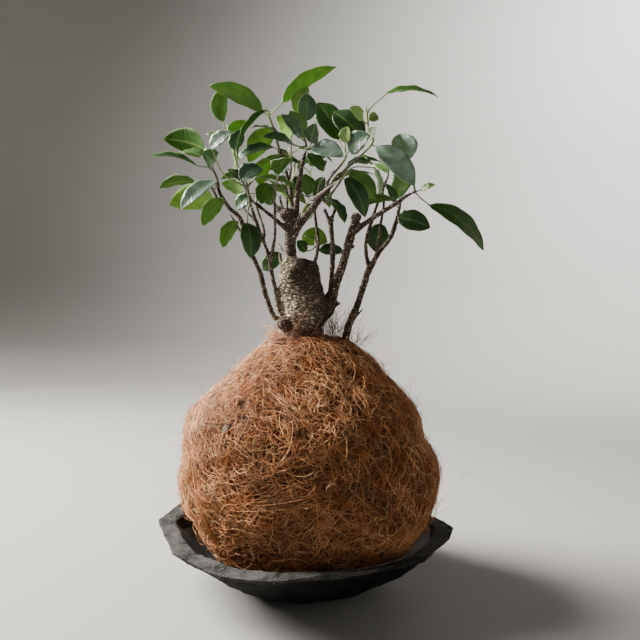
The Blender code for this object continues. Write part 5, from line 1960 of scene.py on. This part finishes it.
@dataclass
class Wood:
    """The fig's trunk with its stems, and the side stem, each as one grown body.

    The trunk's rings give height, x of the middle and radius. crust_edge gives, by height, the x up
    to which the trunk's bark is cream: partly a real crust and partly painted light on the trunk's
    lit left side.
    """

    root_rings: tuple[Place, ...] = (
        (111, -7.5, 10.0), (150, -7.5, 14.0), (184, -7.5, 16.3), (193, -7.5, 16.6))
    trunk_rings: tuple[Place, ...] = (
        (200, -6.2, 18.0), (208, -5.0, 19.2), (216, -6.8, 18.4), (225, -8.5, 17.2),
        (234, -8.5, 16.0),
        (242, -8.2, 14.6), (247, -8.0, 12.6))
    top_slant: float = 0.16
    side_radius: float = 3.0
    voxel: float = 0.76
    sides: int = 54
    steps: int = 6
    scar_step: float = 6.5
    scar_rise: float = 0.13
    stem_wave: float = 0.05
    burl: Place = (-20, 197, -12)
    burl_radius: float = 6.4
    burl_ring: float = 2.4
    burl_depth: float = 0.5
    burrs: tuple[tuple[Place, float], ...] = (
        ((18.5, 213.5, -1), 3.3), ((21.5, 213.5, -1), 1.9), ((16, 218, -2), 2.6))
    bare_stick: Stem = FIG_STUBS[7]
    bare_out: tuple[float, float] = (1.2, 1.9)
    trunk_middle: float = -7.0
    trunk_out: tuple[float, float] = (20.0, 23.0)
    trunk_up: tuple[float, float] = (246.0, 252.0)
    foot_up: tuple[float, float] = (189.0, 193.0)
    lump_size: float = 8.0
    lump_depth: float = 1.0
    scale_size: Place = (4.2, 4.2, 2.1)
    scale_edge: float = 1 / 2.4
    scale_depth: float = 0.7
    ridge_step: float = 0.62
    ridge_depth: float = 0.35
    ridge_up: tuple[float, float] = (200.0, 206.0)
    crust_edge: tuple[tuple[float, float], ...] = (
        (188, -14), (200, 0), (214, -3), (222, -8), (232, -15), (247, -17))
    crust_fade: tuple[float, float] = (-3.0, 6.0)
    moss_share: float = 0.7
    moss_up: tuple[float, float] = (232.0, 240.0)
    finish: FigBark = field(default_factory=FigBark)

    def build(self) -> dict[str, Thing]:
        """Grows both bodies.

        Returns:
            Each by the name of the node that it stands for.
        """
        bark = self.finish.material()
        knots = [self.knot(*knot) for knot in (*FIG_KNOTS, *self.burrs)]
        fig = [self.trunk(), self.stems("fig_stems", (*FIG_STEMS.values(), *FIG_STUBS)), *knots]
        prongs = [stem for name, stem in SIDE_STEMS.items() if name != "side_stem"]
        side = [self.side_foot(), self.stems("side_prongs", (*prongs, *SIDE_STUBS))]
        bodies = {}
        for node, name, parts in (("fig_trunk", "fig_wood", fig), ("side_stem", "side_wood", side)):
            body = join(parts, name)
            finish_modifier(body, "REMESH", mode="VOXEL", voxel_size=self.voxel * MM)
            finish_modifier(body, "SMOOTH", factor=0.5, iterations=2)
            self.grow_bark(body)
            dress_in(body, bark)
            body.data.shade_smooth()
            bodies[node] = body
        return bodies

    def trunk(self) -> Thing:
        """Draws up the swollen trunk ring by ring, and makes it knobbly.

        Returns:
            The trunk.
        """
        rings = [*self.root_rings, *self.trunk_rings]
        body = draw_up("trunk", rings, self.sides)
        places = places_of(body)
        for rank, (height, x, radius) in enumerate(rings):
            part = slice(rank * self.sides, (rank + 1) * self.sides)
            turn = np.arctan2(places[part, 1], places[part, 0] - x)
            above = rank - len(self.root_rings)
            knob = 0.0
            if above >= 0:
                knob = 0.055 * np.sin(3 * turn + 0.9 * above)
                knob += 0.04 * np.sin(5 * turn - 1.7 * above)
            reach = radius * (1 + knob)
            places[part, 0] = x + reach * np.cos(turn)
            places[part, 1] = reach * np.sin(turn)
        places[part, 2] = height + self.top_slant * reach * np.cos(turn + 2.6)
        put_places(body, places)
        return body

    def stem_line(self, path: Sequence[Vector], base: float,
                  tip: float) -> tuple[list[Vector], list[float]]:
        """Smooths a stem's line and rings it with scars.

        Args:
            path: the stem's middle line.
            base: its radius at the foot.
            tip: its radius at the end.

        Returns:
            The smooth line and the radius at each of its points.
        """
        line = smooth_path(path, self.steps)
        radii = taper(len(line), base, tip)
        gone = 0.0
        swollen = [radii[0]]
        for a, b, radius in zip(line, line[1:], radii[1:]):
            gone += (b - a).length
            scar = self.scar_rise * max(0.0, math.cos(math.tau * gone / self.scar_step)) ** 6
            swollen.append(radius * (0.97 + scar + self.stem_wave * math.sin(gone / 5.0)))
        return line, swollen

    def stems(self, name: str, stems: Sequence[Stem]) -> Thing:
        """Round stems along their smoothed routes."""
        lines = [self.stem_line(stem_path(stem), stem.base, stem.tip) for stem in stems]
        return draw_tubes(name, lines, 4)

    def side_foot(self) -> Thing:
        """Makes the side stem from its foot in the ball up to its fork.

        Returns:
            The stem.
        """
        stem = SIDE_STEMS["side_stem"]
        path = smooth_path([SIDE_NECK, *stem_path(stem)], 2)
        line, radii = self.stem_line(path, self.side_radius, stem.tip)
        return draw_tubes("side_foot", [([SIDE_FOOT, *line], [self.side_radius, *radii])], 4)

    def knot(self, place: Place, radius: float) -> Thing:
        """Makes a small burl: a squashed ball.

        Args:
            place: x, z and y in the front elevation.
            radius: its radius.

        Returns:
            The burl.
        """
        middle = from_front(place)
        ball = add_ball("knot", 24, 14, radius, middle)
        bpy.ops.object.mode_set(mode="EDIT")
        bpy.ops.mesh.select_all(action="SELECT")
        bpy.ops.transform.resize(value=(1.0, 1.0, 0.9), center_override=middle * MM)
        bpy.ops.object.mode_set(mode="OBJECT")
        return ball

    def grow_bark(self, body: Thing) -> None:
        """Raises the bark's scales, ridges and burl rings, and marks them for the finish.

        Args:
            body: the grown body.
        """
        places, normals = places_of(body), normals_of(body)
        across, height = places[:, 0], places[:, 2]
        out = np.hypot(across - self.trunk_middle, places[:, 1])
        trunk = (1 - swell(out, *self.trunk_out)) * (1 - swell(height, *self.trunk_up))
        above = swell(height, *self.foot_up)
        lumps = cloud(places, self.lump_size, 3.0)
        scale = np.zeros(len(places))
        near = trunk * above > 0
        warped = places[near] + 0.8 * lumps[near, None]
        scale[near] = scales(warped, self.scale_size, self.scale_edge)
        ridges = np.sin(height / self.ridge_step + 2.5 * lumps)
        ridges *= 1 - swell(height, *self.ridge_up)
        near_burl, rings = self.burl_rings(places)
        relief = self.scale_depth * (scale - 0.6) + self.lump_depth * lumps
        relief += self.ridge_depth * ridges
        raise_by = trunk * above * relief * (1 - near_burl)
        raise_by += near_burl * above * self.burl_depth * rings
        raise_by += (1 - trunk) * (0.32 * cloud(places, 1.7, 9.0) + 0.25 * cloud(places, 4.0, 2.0))
        put_places(body, places + normals * raise_by[:, None])
        crust = self.crust(places) * (1 - near_burl)
        stick = smooth_path(stem_path(self.bare_stick), 12)[8:]
        bare = np.min([np.linalg.norm(places - np.array(point), axis=1) for point in stick], axis=0)
        set_attribute(body, "bare", 1 - swell(bare, *self.bare_out))
        set_attribute(body, "burl", near_burl)
        set_attribute(body, "trunk", trunk)
        set_attribute(body, "crust", np.clip(crust, 0, 1))
        set_attribute(body, "moss", self.moss_share * crust * swell(height, *self.moss_up))
        set_attribute(body, "scale", np.where(near_burl > 0.5, 0.2 + 0.2 * rings, scale))

    def burl_rings(self, places: Rows) -> tuple[Rows, Rows]:
        """Rings the burl at the trunk's foot round the spot that faces the viewer.

        Args:
            places: places on the bark.

        Returns:
            How near each is to the burl, from 0 to 1, and how high it stands in its rings.
        """
        burl = from_front(self.burl)
        away = places - np.array(burl)
        near = 1 - swell(np.linalg.norm(away, axis=1), self.burl_radius, self.burl_radius + 1.5)
        facing = np.array((EYE - burl).normalized())
        spread = np.linalg.norm(away - np.outer(away @ facing, facing), axis=1)
        return near, np.sin(math.tau * spread / self.burl_ring)

    def crust(self, places: Rows) -> Rows:
        """Spreads the pale crust on the trunk's left side, partly a real crust and partly painted
        light where the lamp falls.

        Args:
            places: places on the bark.

        Returns:
            How much cream each takes, as crust and painted light, from 0 to 1.
        """
        across, height = places[:, 0], places[:, 2]
        edge = np.interp(height, *zip(*self.crust_edge))
        wander = 6.0 * cloud(places, 7.0, 7.0)
        start, end = self.crust_fade
        # cream up to an edge on the trunk's left, the side the lamp lights: partly real crust,
        # partly painted light
        crust = 1 - swell(across + wander, edge + start, edge + end)
        low = (1 - swell(height, 218.0, 226.0)) * swell(height, 190.0, 198.0)
        return np.maximum(crust, 0.45 * (1 - swell(across, 0.0, 15.0)) * low)


@dataclass
class Foliage:
    """The leafy shoots: a master blade copied to each leaf's place, with stalks, twigs and buds."""

    rows: int = 16
    columns: int = 8
    thickness: float = 0.5
    edge_thinning: float = 0.55
    wave_rise: float = 0.45
    waves: float = 3.2
    arch: float = 0.44
    fold_share: float = 0.8
    crease: tuple[float, float] = (0.012, 0.11)
    tone_spread: float = 0.07
    rib_width: tuple[float, float] = (0.25, 0.75)
    margin_start: float = 0.9
    stalk_radii: tuple[float, float] = (0.62, 0.45)
    stalk_sink: float = 1.1
    stalk_foot: float = 3.0
    stalk_lead: float = 2.5
    stalk_knee: float = 0.16
    twig_radii: tuple[float, float] = (1.1, 0.88)
    twig_lead: float = 2.0
    twig_rings: float = 0.12
    old_wood: tuple[float, float] = (12.0, 30.0)
    bud: tuple[tuple[float, float], ...] = ((-1.0, 0.8), (1.5, 0.75), (4.0, 0.5), (7.0, 0.12))
    top: LeafTop = field(default_factory=LeafTop)
    back: LeafBack = field(default_factory=LeafBack)
    stalk: GreenStalk = field(default_factory=GreenStalk)

    def build(self) -> dict[str, Thing]:
        """Makes all the shoots.

        Returns:
            Each by the name of the node that it stands for.
        """
        self.materials = (self.top.material(), self.back.material(), self.stalk.material())
        master = self.master_blade()
        draw = random.Random(SEED)
        shoots = {}
        for shoot in SHOOTS:
            blades = [self.blade(leaf) for leaf in shoot.leaves]
            parts = [self.wands(shoot, blades)]
            pairs = zip(shoot.leaves, blades)
            parts += [self.leaf(master, leaf, blade, draw) for leaf, blade in pairs]
            spray = join(parts, f"spray_{shoot.name}")
            spray.data.shade_smooth()
            shoots[f"shoot_{shoot.name}"] = spray
        bpy.data.objects.remove(master)
        return shoots

    def twig(self, shoot: Shoot) -> list[Vector]:
        """Lays out a twig: it leaves its stem squarely, a small gap away from the wood.

        Args:
            shoot: the drawn shoot.

        Returns:
            The twig's middle line.
        """
        stem = {**FIG_STEMS, **SIDE_STEMS}[shoot.stem]
        spot, ahead = along(stem_path(stem), shoot.at)
        places = [from_front(place) for place in shoot.twig]
        if shoot.at < 1.0:
            radius = stem.base + (stem.tip - stem.base) * shoot.at
            outward = places[0] - spot
            ahead = (outward - outward.dot(ahead) * ahead).normalized()
            spot = spot + ahead * radius * 1.15
        start = spot + ahead * GAP
        return [start, start + ahead * self.twig_lead, *places]

    def blade(self, leaf: Leaf) -> Blade:
        """Finds where a drawn leaf's blade lies in space.

        Args:
            leaf: the drawn leaf.

        Returns:
            The blade.
        """
        base, tip = from_front(leaf.base), from_front(leaf.tip)
        axis = (tip - base).normalized()
        facing = EYE - base
        facing = (facing - facing.dot(axis) * axis).normalized()
        upward = axis.cross(facing)
        upward = upward if upward.z >= 0 else -upward
        angle = math.radians(leaf.turn)
        return Blade(base, tip, facing * math.cos(angle) + upward * math.sin(angle))

    def stalk_path(self, twig: Sequence[Vector], blade: Blade) -> list[Vector]:
        """Leads a leaf stalk from its twig into the foot of the midrib.

        Args:
            twig: the twig's middle line.
            blade: the leaf's blade.

        Returns:
            The stalk's middle line.
        """
        near, whole = length_to(twig, blade.base)
        root = along(twig, max(self.stalk_foot, near - self.stalk_lead) / whole)[0]
        run = blade.tip - blade.base
        slope = (run + blade.normal * 0.9 * self.arch * run.length).normalized()
        knee = root.lerp(blade.base, 0.5) - slope * self.stalk_knee * (blade.base - root).length
        return [root, knee, blade.base + slope * self.stalk_sink]

    def master_blade(self) -> Thing:
        """Makes one flat blade, split into a fine grid and given its thickness.

        Returns:
            The blade, two units wide, one long and one thick.
        """
        deselect()
        bpy.ops.mesh.primitive_grid_add(
            x_subdivisions=self.columns, y_subdivisions=self.rows, size=2.0, location=(0, 0, 0))
        blade = bpy.context.object
        bpy.ops.object.mode_set(mode="EDIT")
        bpy.ops.mesh.select_all(action="SELECT")
        bpy.ops.transform.resize(value=(1.0, 0.5, 1.0), center_override=(0, 0, 0))
        bpy.ops.transform.translate(value=(0, 0.5, 0))
        bpy.ops.object.mode_set(mode="OBJECT")
        blade.data.uv_layers[0].name = "leaf"
        finish_modifier(blade, "SOLIDIFY", thickness=1.0, offset=0.0, use_rim=True)
        for material in self.materials:
            blade.data.materials.append(material)
        for face in blade.data.polygons:
            face.material_index = 1 if face.normal.z < -0.5 else 0
        return blade

    def profile(self, ahead: Rows) -> Rows:
        """Half the blade's width along its length, as a share: broad, with a drawn-out point."""
        body = np.sin(math.pi * np.clip(ahead, 0, 1) ** 0.9).clip(0) ** 0.64
        return body * (1 - 0.30 * np.exp(-((1 - ahead) / 0.08) ** 2))

    def leaf(self, master: Thing, drawn: Leaf, blade: Blade, draw: random.Random) -> Thing:
        """Copies the master blade to where a drawn leaf goes: folded, arched and waved.

        Args:
            master: the master blade.
            drawn: the drawn leaf.
            blade: where its blade lies.
            draw: the source of chance.

        Returns:
            The leaf.
        """
        leaf = bpy.data.objects.new("leaf", master.data.copy())
        bpy.context.scene.collection.objects.link(leaf)
        shape = places_of(leaf) * MM
        across, ahead, through = shape[:, 0:1], np.clip(shape[:, 1:2], 0, 1), shape[:, 2:3]
        run = blade.tip - blade.base
        side = np.array(run.cross(blade.normal).normalized())
        half = 0.5 * drawn.width * self.profile(ahead)
        soft, deep = self.crease
        crease = np.sqrt(across ** 2 + soft) - deep
        rise = crease * half * math.tan(math.radians(drawn.fold)) * self.fold_share
        phase = draw.uniform(0, math.tau)
        wave = np.sin(math.tau * self.waves * ahead + phase + 1.3 * across) * across ** 2
        wave = self.wave_rise * wave * np.minimum(1.0, half / 3)
        bow = run.length * ahead * (1 - ahead)
        middle = np.array(blade.base) + np.array(run) * ahead + side * drawn.bend * bow
        skin = through * self.thickness * (1 - self.edge_thinning * np.abs(across) ** 3)
        lift = self.arch * bow + rise + wave + skin
        put_places(leaf, middle + side * across * half + np.array(blade.normal) * lift)
        recalculate(leaf)
        tone, cast, bloom = drawn.look.value
        tone += draw.uniform(-self.tone_spread, self.tone_spread)
        set_attribute(leaf, "tone", min(1.0, max(0.0, tone)))
        set_attribute(leaf, "cast", cast)
        # the look's share of painted sheen
        set_attribute(leaf, "bloom", bloom)
        set_attribute(leaf, "rib", 1 - swell(np.abs(across * half)[:, 0], *self.rib_width))
        set_attribute(leaf, "margin", (np.abs(across[:, 0]) > self.margin_start).astype(float))
        return leaf

    def wands(self, shoot: Shoot, blades: Sequence[Blade]) -> Thing:
        """Makes a shoot's twig, its leaf stalks and the bud at its end.

        Args:
            shoot: the drawn shoot.
            blades: its leaves' blades.

        Returns:
            Twig, stalks and bud in one mesh.
        """
        plain = self.twig(shoot)
        twig = smooth_path(plain, 5)
        radii = []
        for rank, radius in enumerate(taper(len(twig), *self.twig_radii)):
            radii.append(radius * (1 + self.twig_rings * max(0.0, math.cos(1.9 * rank)) ** 4))
        lines = [(twig, radii)]
        for blade in blades:
            path = smooth_path(self.stalk_path(plain, blade), 4)
            lines.append((path, taper(len(path), *self.stalk_radii)))
        ahead = (twig[-1] - twig[-2]).normalized()
        bud = [twig[-1] + ahead * far for far, _ in self.bud]
        lines.append((bud, [radius for _, radius in self.bud]))
        wands = draw_tubes(f"wands_{shoot.name}", lines, 1)
        dress_in(wands, self.materials[2])
        gone = np.linalg.norm(places_of(wands) - np.array(plain[0]), axis=1)
        set_attribute(wands, "age", 1 - swell(gone, *self.old_wood))
        return wands


class Lamp(NamedTuple):
    """A square soft light: where it stands, what it faces, its size, power and colour."""

    name: str
    place: Place
    aim: Place
    size: float
    power: float
    colour: Colour


@dataclass
class Studio:
    """A plain pale floor that runs up into a backdrop, soft light from the left, and the camera.

    Lights stand in metres. rings are the paper's, as height, x of the middle and radius, and the
    camera's lens, shift and roll come from the picture's own view.
    """

    rings: tuple[Place, ...] = (
        (0.0, 0.0, 900.0), (12.0, 0.0, 1100.0), (90.0, 0.0, 1320.0), (260.0, 0.0, 1480.0),
        (600.0, 0.0, 1560.0), (2400.0, 0.0, 1600.0))
    sides: int = 96
    lamps: tuple[Lamp, ...] = (
        Lamp("side", (-1.15, 0.30, 0.95), (0.0, 0.0, 0.20), 0.9, 66.0, (1.0, 0.97, 0.91)),
        Lamp("front", (-0.9, -1.5, 0.9), (0.0, 0.0, 0.18), 1.4, 1.0, (0.93, 0.97, 1.0)),
        Lamp("backdrop", (0.75, 0.55, 1.30), (0.85, 1.6, 0.55), 0.7, 31.0, (1.0, 0.99, 0.96)),
    )
    lamp_spread: float = 110.0
    room_colour: Colour = (0.78, 0.85, 1.0)
    room_strength: float = 0.08
    lens: float = 39.4
    shift: float = -29 / 640
    roll: float = -1.3
    nearest: float = 0.01
    paper: StudioPaper = field(default_factory=StudioPaper)

    def build(self) -> None:
        """Sets up floor, lights, room and camera."""
        self.build_floor()
        for lamp in self.lamps:
            self.build_light(lamp)
        world = bpy.data.worlds.new("room")
        bpy.context.scene.world = world
        world.use_nodes = True
        inputs = world.node_tree.nodes["Background"].inputs
        inputs["Color"].default_value = (*self.room_colour, 1.0)
        inputs["Strength"].default_value = self.room_strength
        self.build_camera()

    def build_floor(self) -> None:
        """Makes a round floor whose edge turns up into a backdrop, without the form's lid."""
        floor = draw_up("paper", self.rings, self.sides)
        lid = self.rings[-1][0] * MM - 0.01
        pick(floor)
        bpy.ops.object.mode_set(mode="EDIT")
        bpy.ops.mesh.select_all(action="DESELECT")
        bpy.ops.object.mode_set(mode="OBJECT")
        for face in floor.data.polygons:
            face.select = face.center.z > lid
        bpy.ops.object.mode_set(mode="EDIT")
        bpy.ops.mesh.delete(type="FACE")
        bpy.ops.mesh.select_all(action="SELECT")
        bpy.ops.mesh.flip_normals()
        bpy.ops.object.mode_set(mode="OBJECT")
        dress_in(floor, self.paper.material())
        floor.data.shade_smooth()

    def build_light(self, lamp: Lamp) -> None:
        """Hangs a light and turns it to what it faces.

        Args:
            lamp: the light.
        """
        light = bpy.data.lights.new(lamp.name, "AREA")
        light.shape = "SQUARE"
        light.size = lamp.size
        light.energy = lamp.power
        light.spread = math.radians(self.lamp_spread)
        light.color = lamp.colour
        thing = bpy.data.objects.new(lamp.name, light)
        thing.location = lamp.place
        way = Vector(lamp.aim) - Vector(lamp.place)
        thing.rotation_euler = way.to_track_quat("-Z", "Y").to_euler()
        bpy.context.scene.collection.objects.link(thing)

    def build_camera(self) -> None:
        """Sets a level camera at the eye."""
        camera = bpy.data.cameras.new("camera")
        camera.lens = self.lens
        camera.shift_y = self.shift
        camera.clip_start = self.nearest
        thing = bpy.data.objects.new("camera", camera)
        thing.location = EYE * MM
        thing.rotation_euler = (math.radians(90), math.radians(self.roll), 0)
        bpy.context.scene.collection.objects.link(thing)
        bpy.context.scene.camera = thing


def main() -> None:
    """Builds the kokedama and its studio, piece by piece."""
    logging.basicConfig(level=logging.INFO, format="%(message)s")
    Studio().build()
    hand_over(Dish().build(), "dish", "dish")
    for piece in Ball().build():
        hand_over(piece, "coir", "coir_wrap")
    for node, body in Wood().build().items():
        hand_over(body, "bark", node)
    for node, spray in Foliage().build().items():
        hand_over(spray, "leaf", node)
    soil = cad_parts["soil_ball"]
    soil.material_slots[0].material = PottingSoil().material()
    log.info("soil_ball: the packed form, with its own finish")


if __name__ == "__main__":
    main()
